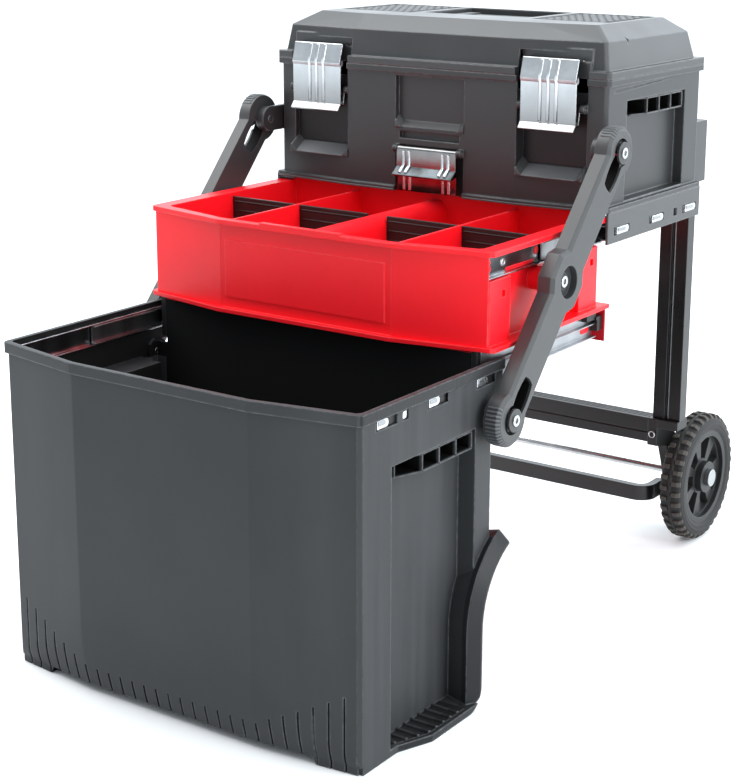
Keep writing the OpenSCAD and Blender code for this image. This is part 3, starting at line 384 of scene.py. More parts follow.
plated_metal("pale_rail", grey(0.4, 0.03), 0.3, ALONG, grey(0.34, 0.04), bands=ACROSS)
plated_metal("inner_rail", grey(0.36, 0.03), 0.32, ALONG, grey(0.22, 0.04), bands=ACROSS)
plated_metal("bright_screw", grey(0.6, 0.01), 0.24, ROUND_ABOUT, grey(0.5, 0.02))
plated_metal("hook_steel", grey(0.75, 0.02), 0.25, ALONG, grey(0.6, 0.02))
plated_metal("fold_steel", grey(0.6, 0.03), 0.7, UPRIGHT, grey(0.5, 0.03))
plated_metal("lip_steel", (0.13, 0.148, 0.16), 0.35, UPRIGHT, grey(0.04), spread=0.08)
plated_metal("centre_steel", grey(0.24), 0.12, UPRIGHT, grey(0.18), spread=0.08)
# The latch plates are painted darker towards the bottom as a reflection
plated_metal(
    "latch_steel", grey(0.72, 0.03), 0.14, UPRIGHT, grey(0.6, 0.03), spread=0.08,
    fade=(0.618, 0.678, grey(0.27)),
)

# Geometry trees


def new_tree(name, sockets):
    tree = bpy.data.node_groups.new(name, "GeometryNodeTree")
    tree.interface.new_socket("Geometry", in_out="INPUT", socket_type="NodeSocketGeometry")
    for label, kind in sockets:
        tree.interface.new_socket(label, in_out="INPUT", socket_type=kind)
    tree.interface.new_socket("Material", in_out="INPUT", socket_type="NodeSocketMaterial")
    tree.interface.new_socket("Geometry", in_out="OUTPUT", socket_type="NodeSocketGeometry")
    return tree, tree.nodes.new("NodeGroupInput").outputs


def close_tree(tree, enter, geometry):
    real = tree.nodes.new("GeometryNodeRealizeInstances")
    paint = tree.nodes.new("GeometryNodeSetMaterial")
    leave = tree.nodes.new("NodeGroupOutput")
    tree.links.new(geometry, real.inputs["Geometry"])
    tree.links.new(real.outputs["Geometry"], paint.inputs["Geometry"])
    tree.links.new(enter["Material"], paint.inputs["Material"])
    tree.links.new(paint.outputs["Geometry"], leave.inputs["Geometry"])
    return tree


def build_swept_rib():
    tree, enter = new_tree("swept_rib", [("Radius", "NodeSocketFloat"), ("Corners", "NodeSocketInt")])
    curve = tree.nodes.new("GeometryNodeMeshToCurve")
    tree.links.new(enter["Geometry"], curve.inputs["Mesh"])
    profile = tree.nodes.new("GeometryNodeCurvePrimitiveCircle")
    tree.links.new(enter["Corners"], profile.inputs["Resolution"])
    tree.links.new(enter["Radius"], profile.inputs["Radius"])
    sweep = tree.nodes.new("GeometryNodeCurveToMesh")
    sweep.inputs["Fill Caps"].default_value = True
    tree.links.new(curve.outputs["Curve"], sweep.inputs["Curve"])
    tree.links.new(profile.outputs["Curve"], sweep.inputs["Profile Curve"])
    return close_tree(tree, enter, sweep.outputs["Mesh"])


def place_shapes(tree, enter, points, rotation=None):
    shape = tree.nodes.new("GeometryNodeObjectInfo")
    tree.links.new(enter["Shape"], shape.inputs["Object"])
    copies = tree.nodes.new("GeometryNodeInstanceOnPoints")
    tree.links.new(points, copies.inputs["Points"])
    tree.links.new(shape.outputs["Geometry"], copies.inputs["Instance"])
    if rotation is not None:
        tree.links.new(rotation, copies.inputs["Rotation"])
    return copies.outputs["Instances"]


def build_repeat_on_points():
    tree, enter = new_tree("repeat_on_points", [("Shape", "NodeSocketObject")])
    return close_tree(tree, enter, place_shapes(tree, enter, enter["Geometry"]))


def build_ring_of_shapes():
    tree, enter = new_tree(
        "ring_of_shapes",
        [
            ("Shape", "NodeSocketObject"),
            ("Count", "NodeSocketInt"),
            ("Start", "NodeSocketFloat"),
            ("Step", "NodeSocketFloat"),
            ("Centre", "NodeSocketVector"),
        ],
    )
    points = tree.nodes.new("GeometryNodePoints")
    tree.links.new(enter["Count"], points.inputs["Count"])
    tree.links.new(enter["Centre"], points.inputs["Position"])
    index = tree.nodes.new("GeometryNodeInputIndex").outputs["Index"]
    angle = maths(tree, "MULTIPLY_ADD", index, enter["Step"], enter["Start"])
    turn = tree.nodes.new("ShaderNodeCombineXYZ")
    tree.links.new(angle, turn.inputs["X"])
    ring = place_shapes(tree, enter, points.outputs["Points"], turn.outputs["Vector"])
    join = tree.nodes.new("GeometryNodeJoinGeometry")
    tree.links.new(enter["Geometry"], join.inputs["Geometry"])
    tree.links.new(ring, join.inputs["Geometry"])
    return close_tree(tree, enter, join.outputs["Geometry"])


swept_rib = build_swept_rib()
repeat_on_points = build_repeat_on_points()
ring_of_shapes = build_ring_of_shapes()


def grow(name, mesh, tree, **values):
    obj = bpy.data.objects.new(name, mesh)
    scene.collection.objects.link(obj)
    modifier = obj.modifiers.new(tree.name, "NODES")
    modifier.node_group = tree
    for item in tree.interface.items_tree:
        label = item.name.lower()
        if item.in_out == "INPUT" and label in values:
            modifier[item.identifier] = values[label]
    depsgraph = bpy.context.evaluated_depsgraph_get()
    grown = bpy.data.meshes.new_from_object(obj.evaluated_get(depsgraph), depsgraph=depsgraph)
    obj.modifiers.clear()
    obj.data = grown
    grown.name = name
    return obj


# Mesh helpers


def path_mesh(paths):
    points, edges = [], []
    for path in paths:
        edges += [(len(points) + i, len(points) + i + 1) for i in range(len(path) - 1)]
        points += [at(*p) for p in path]
    return point_mesh(points, edges)


def point_mesh(points, edges=()):
    mesh = bpy.data.meshes.new("points")
    mesh.from_pydata(points, edges, [])
    return mesh


def mirrored(paths):
    return [[(-x, y, z) for x, y, z in path] for path in paths]


def solid_object(name, bm, key):
    bmesh.ops.remove_doubles(bm, verts=bm.verts[:], dist=1e-6)
    bmesh.ops.recalc_face_normals(bm, faces=bm.faces[:])
    mesh = bpy.data.meshes.new(name)
    bm.to_mesh(mesh)
    bm.free()
    mesh.materials.append(finish[key])
    obj = bpy.data.objects.new(name, mesh)
    scene.collection.objects.link(obj)
    return obj


def add_loops(bm, rings, closed):
    rows = [[bm.verts.new(p) for p in ring] for ring in rings]
    for a, b in zip(rows, rows[1:]):
        for i in range(len(a)):
            j = (i + 1) % len(a)
            bm.faces.new((a[i], a[j], b[j], b[i]))
    if closed:
        bm.faces.new(rows[0])
        bm.faces.new(rows[-1])


def add_slab(bm, outline, x0, x1):
    add_loops(bm, [[at(x, y, z) for y, z in outline] for x in (x0, x1)], True)


def add_plate(bm, outline, z0, z1):
    add_loops(bm, [[at(x, y, z) for x, y in outline] for z in (z0, z1)], True)


def add_bar(bm, section, stations):
    add_loops(bm, [[at(x, y + dy, z) for dy, z in section] for x, y in stations], True)


def handed(s, outline):
    return [(s * first, second) for first, second in outline]


def rectangle(a0, b0, a1, b1):
    return [(a0, b0), (a1, b0), (a1, b1), (a0, b1)]


def ride(obj, body):
    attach(obj, body)
    return obj


def sweep(name, paths, radius, corners, key, body, slot):
    rib = grow(
        name, path_mesh(paths), swept_rib, radius=radius / 1000, corners=corners, material=finish[key]
    )
    return ride(rib, body)


def stadium(y0, y1, z, r, steps=6):
    turn = [math.radians(180 * i / steps - 90) for i in range(steps + 1)]
    end = [(y1 - r + r * math.cos(a), z + r * math.sin(a)) for a in turn]
    return end + [(y0 + y1 - y, 2 * z - v) for y, v in end]


def ngon(y, z, r, count):
    angles = [2 * math.pi * i / count for i in range(count)]
    return [(y + r * math.cos(a), z + r * math.sin(a)) for a in angles]


def add_lathe(bm, profile, y, z, steps, ring=False):
    rings = [[at(x, *p) for p in ngon(y, z, r, steps)] for x, r in profile]
    add_loops(bm, rings + rings[:1] if ring else rings, not ring)


def shape_object(name, rings):
    bm = bmesh.new()
    add_loops(bm, [[Vector(p) / 1000 for p in ring] for ring in rings], True)
    return solid_object(name, bm, "black_plastic")


def drop(obj):
    bpy.data.objects.remove(obj, do_unlink=True)


# Wheels: a lathed carcass with two staggered rows of tread blocks

TYRE_HALF = [
    (0, 88.6), (1.6, 88.6), (2.2, 86.6), (9.5, 86.4), (13.5, 84.8), (15.8, 81.5), (16.6, 77.2),
    (17.0, 76.6), (17.0, 75.2), (16.4, 74.6), (16.2, 70.5), (14.0, 66.0),
]
LUGS = 36


def tread_block(name, s):
    def ring(dx, low, high, half):
        x, top = s * dx, half - 0.5
        return [(x, low, -half), (x, low, half), (x, high, top), (x, high, -top)]

    rings = [ring(3.4, 84, 89.3, 3.2), ring(11, 83, 89.2, 3.4), ring(15, 80, 85.4, 3.6)]
    return shape_object(name, rings)


def build_tyre(side):
    lo, hi = node_mm(side + "_tyre")
    mid = (lo + hi) / 2
    bm = bmesh.new()
    half = TYRE_HALF + [(-dx, r) for dx, r in reversed(TYRE_HALF[1:])]
    add_lathe(bm, [(mid.x + dx, r) for dx, r in half], mid.y, mid.z, 108, ring=True)
    tyre = solid_object(side + "_turned_tyre", bm, "tyre_rubber")
    ride(tyre, side + "_wheel")
    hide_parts(side + "_tyre")
    step = 2 * math.pi / LUGS
    rows = point_mesh([])
    for s in (-1, 1):
        block = tread_block("block", s)
        tread = grow(
            side + "_tread", rows, ring_of_shapes, shape=block, count=LUGS, start=s * step / 4,
            step=step, centre=at(mid.x, mid.y, mid.z), material=finish["tread_rubber"],
        )
        drop(block)
        rows = tread.data
        if s < 0:
            drop(tread)
    ride(tread, side + "_wheel")


# Arms: ridges round both ends, and screws with a socket in the head

ARM_IN, ARM_OUT, ARM_BEVEL, LOBE_R = 256, 276, 4, 30
BIN_PIN, TRAY_PIN, BOX_PIN = (247, 329), (364.5, 461.5), (482, 594)
ARM_LEAN = math.atan2(BOX_PIN[1] - BIN_PIN[1], BOX_PIN[0] - BIN_PIN[0])
RIDGES = 21
RIDGE_STEP = math.radians(8.6)


def build_arm_ridges(side):
    s = SIGN[side]
    top, foot = 0.8, 1.5

    def ring(x, r):
        crest = [(s * x, r + 1.0, -top), (s * x, r + 1.0, top)]
        return crest + [(s * x, r - 1.5, foot), (s * x, r - 1.5, -foot)]

    edge = ARM_OUT - ARM_BEVEL
    places = ((edge - 13, LOBE_R), (edge, LOBE_R), (ARM_OUT - 0.6, LOBE_R - ARM_BEVEL + 0.4))
    ridge = shape_object("ridge", [ring(x, r) for x, r in places])
    ridges = point_mesh([])
    # The ridges take the lighter plastic as a painted highlight
    for pin, lean in ((BIN_PIN, ARM_LEAN + math.pi), (BOX_PIN, ARM_LEAN)):
        obj = grow(
            side + "_arm_ridges", ridges, ring_of_shapes, shape=ridge, count=RIDGES,
            start=lean - RIDGE_STEP * (RIDGES - 1) / 2, step=RIDGE_STEP, centre=at(0, *pin),
            material=finish["highlight_plastic"],
        )
        ridges = obj.data
        if pin == BIN_PIN:
            drop(obj)
    drop(ridge)
    ride(obj, side + "_arm")


# Sheets of painted shade on the walls of the slots in the arms, each slot bounded by one end circle and
# two side circles
SLOT_LONG, SLOT_HALF, SLOT_SIDE_R, SLOT_END_R = 44.6, 13.1, 70, 29
SLOT_WIDEST = 0.62 * SLOT_LONG


def slot_half_width(along):
    end = math.sqrt(max(0.0, SLOT_END_R ** 2 - (along - SLOT_LONG / 2) ** 2))
    side_wall = math.sqrt(SLOT_SIDE_R ** 2 - (along - SLOT_WIDEST) ** 2) - SLOT_SIDE_R + SLOT_HALF
    return max(0.5, min(end, side_wall))


def slot_loop(pin, along_way, inset):
    first, last = SLOT_LONG / 2 - SLOT_END_R + inset, SLOT_LONG / 2 + SLOT_END_R - inset
    places = [first + (last - first) * i / 28 for i in range(29)]
    walls = [(a, slot_half_width(a) - inset * 0.8) for a in places]
    u, v = along_way
    return [
        (pin[0] + u * a - v * w, pin[1] + v * a + u * w)
        for a, w in walls + [(a, -w) for a, w in reversed(walls)]
    ]


# Ring of painted shade in the washer's seat, open towards the slot
SEAT_R, SEAT_X = (13.2, 16.9), (ARM_OUT - 2.95, ARM_OUT - 2.6)
SEAT_OPEN, SEAT_TURN, SEAT_STEPS = 70, 220, 24


def add_seat_shade(bm, s, pin, towards):
    section = rectangle(SEAT_R[0], SEAT_X[0], SEAT_R[1], SEAT_X[1])
    rings = []
    for i in range(SEAT_STEPS + 1):
        a = towards + math.radians(SEAT_OPEN + SEAT_TURN * i / SEAT_STEPS)
        rings.append([at(s * x, pin[0] + r * math.cos(a), pin[1] + r * math.sin(a)) for r, x in section])
    add_loops(bm, rings, True)


def build_slot_shading(side):
    s = SIGN[side]
    near, far = ARM_IN + 0.3, ARM_OUT - 3.2
    lean = (math.cos(ARM_LEAN), math.sin(ARM_LEAN))
    bm = bmesh.new()
    for pin, way in ((BIN_PIN, lean), (BOX_PIN, (-lean[0], -lean[1]))):
        inner, outer = slot_loop(pin, way, 0.6), slot_loop(pin, way, 0.1)
        corners = ((near, outer), (far, outer), (far, inner), (near, inner))
        rings = [[at(s * x, y, z) for y, z in loop] for x, loop in corners]
        add_loops(bm, rings + rings[:1], False)
        add_seat_shade(bm, s, pin, math.atan2(way[1], way[0]))
    ride(solid_object(side + "_slot_liners", bm, "shade_black"), side + "_arm")


COLLAR = [(267.4, 7.2), (267.4, 11), (270, 11), (270, 7.2)]


def build_pivot_collars():
    bm = bmesh.new()
    for s in (-1, 1):
        add_lathe(bm, handed(s, COLLAR), *TRAY_PIN, 40, ring=True)
    ride(solid_object("pivot_collars", bm, "black_plastic"), "tray")


def build_screws(node, body, pin, inner, shaft, head, socket):
    end, head_r, head_t = head
    socket_r, deep = socket
    profile = [
        (inner, shaft), (end - head_t, shaft), (end - head_t, head_r), (end - 0.4, head_r),
        (end, head_r - 0.4), (end, socket_r), (end - deep, socket_r),
    ]
    bm = bmesh.new()
    for s in (-1, 1):
        add_lathe(bm, handed(s, profile), *pin, 40)
    screws = solid_object(node + "_turned", bm, "bright_screw")
    ride(screws, body)
    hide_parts(node)


# Latches: pressed ribs and a rounded fold in the plates, and the lip of the centre latch

LATCH_RIB, LATCH_RIBS_X = [(494.6, 694.5), (487.6, 673), (489.2, 669), (489.2, 622)], (-11, 0, 11)
LATCH_FOLD = (491.4, 671.5)
CENTRE_RIBS = [[(487, 569), (487, 551), (478, 542.4)], [(489, 538), (489, 519.5)]]
CENTRE_RIBS_X = (-33.5, -25, 25, 33.5)
CENTRE_LIP, CENTRE_LIP_HALF = [(486.84, 549.19), (475.84, 540.19), (476, 540), (487, 549)], 43.9


def build_latch_ribs():
    lo, hi = node_mm("right_latch_plate")
    half = (hi.x - lo.x) / 2 - 0.3
    for side in sides:
        middle = SIGN[side] * (lo.x + hi.x) / 2
        plate = side + "_latch_plate"
        ribs = [[(middle + dx, y, z) for y, z in LATCH_RIB] for dx in LATCH_RIBS_X]
        sweep(side + "_latch_ribs", ribs, 2.4, 12, "latch_steel", plate, "latch_steel")
        fold = [(middle - half, *LATCH_FOLD), (middle + half, *LATCH_FOLD)]
        sweep(side + "_latch_fold", [fold], 4.3, 28, "fold_steel", plate, "latch_steel")
    # The centre latch's ribs take the brighter hook steel as a painted highlight
    ribs = [[(x, y, z) for y, z in rib] for rib in CENTRE_RIBS for x in CENTRE_RIBS_X]
    sweep("centre_latch_ribs", ribs, 2.2, 12, "hook_steel", "centre_latch", "latch_steel")
    bm = bmesh.new()
    add_bar(bm, CENTRE_LIP, [(-CENTRE_LIP_HALF, 0), (CENTRE_LIP_HALF, 0)])
    ride(solid_object("centre_latch_lip", bm, "lip_steel"), "centre_latch")


# Hooks of the slides that show in the slots of the bin and of the skirts

BIN_SLOTS, BIN_SLOT_Z = (29, 123, 217), (366, 377)
SKIRT_SLOTS, SKIRT_SLOT_Z = (520, 614, 708), (487, 497)


def hook_outline(length, height):
    r = height / 2
    turn = [math.radians(-90 + 30 * i) for i in range(7)]
    return [(0, 0)] + [(length - r + r * math.cos(a), r + r * math.sin(a)) for a in turn] + [(0, height)]


def build_hooks(name, body, slots, z, x, length, start):
    height = z[1] - z[0] - 1.6
    deep, mid, out = x
    outline, step = hook_outline(length, height), hook_outline(length * 0.62, height * 0.5)
    for side in sides:
        s = SIGN[side]
        plate = [[(s * dx, dy, dz) for dy, dz in outline] for dx in (deep, mid)]
        raised = [[(s * dx, dy + 1.5, dz + height * 0.4) for dy, dz in step] for dx in (mid - 0.2, out)]
        for part, rings, key in (("", plate, "hook_steel"), ("_steps", raised, "pale_rail")):
            shape = shape_object("hook", rings)
            points = point_mesh([at(0, y + start, z[0] + 0.8) for y in slots])
            hooks = grow(
                side + "_" + name + part, points, repeat_on_points, shape=shape, material=finish[key]
            )
            drop(shape)
            ride(hooks, body)


def build_slot_tabs(name, body, places, z, x):
    low, high = z
    bm = bmesh.new()
    for s in (-1, 1):
        for y0, y1 in places:
            outline = [(y0, low), (y1 - 2, low), (y1, low + 2), (y1, high), (y0 + 2, high), (y0, high - 2)]
            add_slab(bm, outline, s * x[0], s * x[1])
    ride(solid_object(name, bm, "hook_steel"), body)


def build_slot_shades(name, body, slots, z, x, span):
    bm = bmesh.new()
    for s in (-1, 1):
        for y in slots:
            add_slab(bm, rectangle(y + span[0], z[0], y + span[1], z[1]), s * x[0], s * x[1])
    ride(solid_object(name, bm, "black_plastic"), body)


# Bin: ridged sills, with painted shade between the ridges

SILL_TOP, SILL_OUT, SILL_IN = 8, 264, 225.5
SILL_CORNERS = (57, 225), (70, 247), (112, 264), (200, 264)


def sill_edge(y):
    for (y0, x0), (y1, x1) in zip(SILL_CORNERS, SILL_CORNERS[1:]):
        if y <= y1:
            return x0 + (x1 - x0) * (y - y0) / (y1 - y0)
    return SILL_OUT


SILL_INSET = 5
SILL_PAD_Y, SILL_BENDS = (62, 184), (70, 80, 96, 112)


def build_sill_ridges():
    top = SILL_TOP + 0.6
    paths = [[(SILL_IN, y, top), (sill_edge(y) - SILL_INSET, y, top)] for y in range(72, 182, 14)]
    sweep("sill_ridges", paths + mirrored(paths), 2.2, 10, "bin_plastic", "bin", "charcoal_plastic")
    first, last = SILL_PAD_Y
    edge = [(sill_edge(y) - SILL_INSET, y) for y in (*SILL_BENDS, last)]
    pad = [(SILL_IN, first)] + edge + [(SILL_IN, last)]
    # A near-black pad under the ridges is the painted shade between them
    bm = bmesh.new()
    for s in (-1, 1):
        add_plate(bm, handed(s, pad), SILL_TOP - 0.3, SILL_TOP + 0.4)
    ride(solid_object("sill_pads", bm, "black_plastic"), "bin")


# The bin's front: facets that curve in towards the foot, with grooves that run out at the bottom

FRONT_SIDE, FRONT_FACET, FRONT_Y, FRONT_BOW = 247, 123, -20, 23
APRON_TOP, APRON_FOOT, APRON_END, APRON_ROWS = 85, 9, 242.8, 44
# The apron covers the solid's slanted cut, and its upper end dives into the wall so that no line shows
SLANT, APRON_DEEP, APRON_PROUD = 28 / 85, 3.2, 0.06
APRON_OVER, APRON_FLUSH, APRON_DIVE = 13, 3, 0.026
FOOT_IN, FOOT_OUT, FOOT_LOW = 188, 193, 0.6
TUCK_MIDDLE, TUCK_SIDE = 11, 2.1
GROOVE_STEP, GROOVE_HALF, GROOVE_DEEP, GROOVE_LOW, GROOVE_RISE = 17.6, 1.3, 2.2, 33, 62
GROOVES = int((FRONT_SIDE - 10) / GROOVE_STEP)
SHADE_HALF, SHADE_FRONT, SHADE_ROWS = 1.2, 0.6, 12


def front_taper(x):
    return max(0, abs(x) - FRONT_FACET) / (FRONT_SIDE - FRONT_FACET)


def groove_top(x):
    return GROOVE_LOW + GROOVE_RISE * front_taper(x)


def apron_start(x):
    return APRON_TOP - FRONT_BOW * front_taper(x) / SLANT


def apron_y(x, z):
    taper, start = front_taper(x), apron_start(x)
    tuck = TUCK_MIDDLE + (TUCK_SIDE - TUCK_MIDDLE) * taper
    curl = min(1, max(0, (start - z) / (start - APRON_FOOT)))
    return FRONT_Y + FRONT_BOW * taper + tuck * curl * curl


def apron_foot(x):
    step = min(1, max(0, (abs(x) - FOOT_IN) / (FOOT_OUT - FOOT_IN)))
    return APRON_FOOT + (FOOT_LOW - APRON_FOOT) * step


def apron_column(x, groove):
    low, start = apron_foot(x), apron_start(x)
    front, back = [], []
    for i in range(APRON_ROWS + 1):
        z = low + (start + APRON_OVER - low) * i / APRON_ROWS
        y = apron_y(x, z) - APRON_PROUD + APRON_DIVE * max(0, z - start - APRON_FLUSH)
        if groove is not None and z < groove_top(groove):
            y += GROOVE_DEEP
        solid = FRONT_Y + FRONT_BOW * front_taper(x) + SLANT * max(0, start - z)
        front.append(at(x, y, z))
        back.append(at(x, solid + APRON_DEEP, z))
    return front + back[::-1]


# Near-black strips on the grooves' floors, as painted shade
def add_groove_shade(bm, x):
    low, high = apron_foot(x) + 0.4, groove_top(x) - 1
    rings = []
    for i in range(SHADE_ROWS + 1):
        z = low + (high - low) * i / SHADE_ROWS
        y = apron_y(x, z)
        strip = rectangle(x - SHADE_HALF, y + SHADE_FRONT, x + SHADE_HALF, y + GROOVE_DEEP + 0.1)
        rings.append([at(*place, z) for place in strip])
    add_loops(bm, rings, True)


def build_front_apron():
    columns = [(x, None) for x in (-APRON_END, -FOOT_OUT, -FOOT_IN, FOOT_IN, FOOT_OUT, APRON_END)]
    skin, dark = bmesh.new(), bmesh.new()
    for i in range(-GROOVES, GROOVES + 1):
        x = i * GROOVE_STEP
        for s in (-1, 1):
            columns += [(x + s * GROOVE_HALF, None), (x + s * (GROOVE_HALF - 0.05), x)]
        add_groove_shade(dark, x)
    columns.sort(key=lambda column: column[0])
    add_loops(skin, [apron_column(x, groove) for x, groove in columns], True)
    ride(solid_object("bin_front_apron", skin, "bin_plastic"), "bin")
    ride(solid_object("bin_front_grooves", dark, "shade_black"), "bin")


# Hand grips: a ribbed frame over a pocket lined with painted shade


def build_grip(name, body, key, outer, floor, back, start, ribs, end, z):
    thick = 0.9
    deep = outer - 4
    corner, reach = outer - 12, ribs[0] - 34
    frame_bm, dark = bmesh.new(), bmesh.new()
    lip = [
        (floor, start), (corner, reach), (outer, ribs[0]), (outer, end), (outer - 3, end),
        (outer - 3, ribs[0] + 1), (floor, start + 6),
    ]
    shelf = [
        (back, start + 4), (floor, start + 4), (corner - 3, reach), (deep, ribs[0]), (deep, end),
        (back, end),
    ]
    for s in (-1, 1):
        for low in (z[0], z[1] - 2 * thick):
            add_plate(frame_bm, handed(s, lip), low, low + 2 * thick)
            add_plate(dark, handed(s, shelf), low + 0.3, low + 2 * thick - 0.3)
        for y, out in [(reach, corner)] + [(y, outer) for y in ribs] + [(end - thick, outer)]:
            for bm, x0, x1, t in ((frame_bm, out - 4, out, thick), (dark, back, out - 3.8, thick - 0.1)):
                add_plate(bm, handed(s, rectangle(x0, y - t, x1, y + t)), z[0] + 0.5, z[1] - 0.5)
        rear = rectangle(back - 0.4, start + 3, back + 0.4, end)
        add_plate(dark, handed(s, rear), z[0] + 0.5, z[1] - 0.5)
    ride(solid_object(name + "_ribs", frame_bm, key), body)
    ride(solid_object(name + "_liners", dark, "shade_black"), body)


# Box: chamfered corners of the recesses behind the latches, in the lighter skirt plastic as a painted
# highlight

LATCH_LEDGE, CENTRE_LEDGE = ((492, 553), (512, 566)), ((492.4, 597.4), (502, 606))


def add_corner(bm, x, inward, ledge, size):
    rings = []
    for y, z in ledge:
        rings.append([at(x, y, z + size), at(x, y, z - 1), at(x + inward * (size + 1), y, z - 1)])
    add_loops(bm, rings, True)


def build_recess_corners():
    bm = bmesh.new()
    for s in (-1, 1):
        add_corner(bm, s * 51, -s, CENTRE_LEDGE, 9)
        for x, inward in ((126, s), (218, -s)):
            add_corner(bm, s * x, inward, LATCH_LEDGE, 9)
    ride(solid_object("recess_corners", bm, "skirt_plastic"), "top_box")


# The lip along the foot of the box front and the ledges below the latches, painted lighter as a highlight,
# and near-black sheets of painted shade at the back of the latch recesses
LIP = [(-0.4, 516.2), (-0.4, 518), (2.6, 522.4), (2.6, 516.2)]
LIP_STATIONS = ((51.5, 491), (123, 491), (249, 503))


def build_ledges():
    light, dark = bmesh.new(), bmesh.new()
    (y0, z0), (y1, z1) = LATCH_LEDGE
    slope = [(0, z0 + 0.4), (y1 - y0, z1 + 0.4), (y1 - y0, z1 - 0.6), (0, z0 - 0.6)]
    floor = [(0, z1 + 1), (0, z1 + 76), (0.5, z1 + 76), (0.5, z1 + 1)]
    for s in (-1, 1):
        add_bar(light, LIP, [(s * x, y) for x, y in LIP_STATIONS])
        add_bar(light, slope, [(s * 134, y0), (s * 210, y0)])
        add_bar(dark, floor, [(s * 127, y1 - 0.8), (s * 217, y1 - 0.8)])
    ride(solid_object("box_ledges", light, "highlight_plastic"), "top_box")
    ride(solid_object("recess_floors", dark, "black_plastic"), "top_box")


def build_handle_web():
    bm = bmesh.new()
    add_plate(bm, rectangle(-72, 618, 72, 700), 724.5, 727)
    ride(solid_object("carry_handle_web", bm, "handle_grey"), "carry_handle")


# Tray: ribbed dividers, and windows, stops and rivets of the slides

dividers = [place + side + "_divider" for place in ("outer_", "inner_") for side in sides]
DIVIDER_RIBS = 9
RAIL_FACE = 230.5
RAIL_WINDOWS = [
    stadium(300, 362, 482, 2.2), ngon(367, 493, 5, 20), stadium(259, 268, 495, 3),
    ngon(266, 488, 3.2, 16),
]
RAIL_STOP = stadium(252, 258, 485, 3)
RIVET, RIVET_PLACE = [(230.5, 4.6), (231.6, 4.2), (231.6, 2), (230.5, 2)], (295, 491)


def build_divider_ribs():
    for name in dividers:
        lo, hi = node_mm(name)
        rows = [lo.z + (hi.z - lo.z) * (i + 0.5) / DIVIDER_RIBS for i in range(DIVIDER_RIBS)]
        paths = [[(lo.x + 3, y, z), (hi.x - 3, y, z)] for z in rows for y in (lo.y, hi.y)]
        sweep(name + "_ribs", paths, 0.8, 8, "black_plastic", name, "black_plastic")


def build_rail_holes():
    red, dark, bright = bmesh.new(), bmesh.new(), bmesh.new()
    for s in (-1, 1):
        for outline in RAIL_WINDOWS:
            add_slab(red, outline, s * RAIL_FACE, s * (RAIL_FACE + 0.4))
        add_slab(dark, RAIL_STOP, s * RAIL_FACE, s * (RAIL_FACE + 1.2))
        add_lathe(bright, handed(s, RIVET), *RIVET_PLACE, 24, ring=True)
    ride(solid_object("rail_windows", red, "red_plastic"), "tray")
    ride(solid_object("rail_end_stops", dark, "black_plastic"), "tray")
    ride(solid_object("rail_rivets", bright, "bright_screw"), "tray")


# Outer facets of the tray's front, carried on past the sides to cover the slides' ends
TRAY_FACET = [(123, 233.4), (239.6, 250), (239.6, 251.4), (229.5, 251.4), (225, 256), (123, 234.4)]
FACET_Z = (403.9, 505.1)


def build_tray_facets():
    bm = bmesh.new()
    for s in (-1, 1):
        add_plate(bm, handed(s, TRAY_FACET), *FACET_Z)
    ride(solid_object("tray_front_facets", bm, "red_plastic"), "tray")


# Rear ends of the lower slides: a red tab, a black knob in front of it and the slide's lower lip
TAB, TAB_Z = rectangle(226, 513.9, 244, 516.3), (357, 399)
KNOB = [(503, 371), (512, 371), (513.9, 373), (513.9, 389), (500.5, 389), (500.5, 386), (503, 384)]
# The mould holes, the tab at each slide's rear end and the rib under the tray's front are painted a darker
# red as shade
MOULD_HOLES = [rectangle(y, z, y + 10, z + 9) for y, z in ((304.5, 451.5), (506.5, 454.5))]
# Black spacers at the slides' front, and the rib under the tray's front between them
SPACER, SPACER_Z = rectangle(222.5, 245, 229.4, 262), (350, 398.8)
UNDER_RIB, UNDER_RIB_Z = rectangle(-222, 245.8, 222, 249), (396.4, 399)
# Bead along the flange of the tray's front
BEAD = [(-244, 250.6, 402), (-123, 228.6, 402), (123, 228.6, 402), (244, 250.6, 402)]


def build_rail_ends():
    red, black, deep = bmesh.new(), bmesh.new(), bmesh.new()
    lips = []
    for s in (-1, 1):
        add_slab(red, stadium(477, 498, 375.2, 5), s * 231, s * 231.4)
        add_plate(deep, handed(s, TAB), *TAB_Z)
        add_slab(black, KNOB, s * 231, s * 240.5)
        for hole in MOULD_HOLES:
            add_slab(deep, hole, s * 228.2, s * 229.3)
        lips.append([(s * 231.4, 262, 362.4), (s * 231.4, 506, 362.4)])
        add_plate(black, handed(s, SPACER), *SPACER_Z)
    add_plate(deep, UNDER_RIB, *UNDER_RIB_Z)
    ride(solid_object("rail_oblongs", red, "red_plastic"), "tray")
    ride(solid_object("rail_knobs", black, "black_plastic"), "tray")
    ride(solid_object("rail_end_tabs", deep, "shaded_red"), "tray")
    sweep("rail_lips", lips, 0.8, 8, "black_plastic", "tray", "black_plastic")
    sweep("tray_fillet", [BEAD], 1.6, 12, "red_plastic", "tray", "red_plastic")


# Rear frame: end brackets that slope back to the axle, ringed screws and a bright bead down each post's
# groove as a painted highlight

BRACKET_X, POST_X, POST_FRONT = (191, 205), 235, 761
BRACKET = [
    (755, 190), (784, 190), (861, 101.5), (861, 77.5), (846, 71.5), (816, 65), (806, 65), (806, 100),
    (788, 144), (755, 152),
]
FLANGE, FLANGE_Z = rectangle(BRACKET_X[1] - 0.2, 755.2, POST_X, 783.8), (178, 189.9)
RING_PLACE, RING_R = (198, 753.2, 168), 4.2
GLINT_X, GLINT_Z = 217.4, (192, 516)


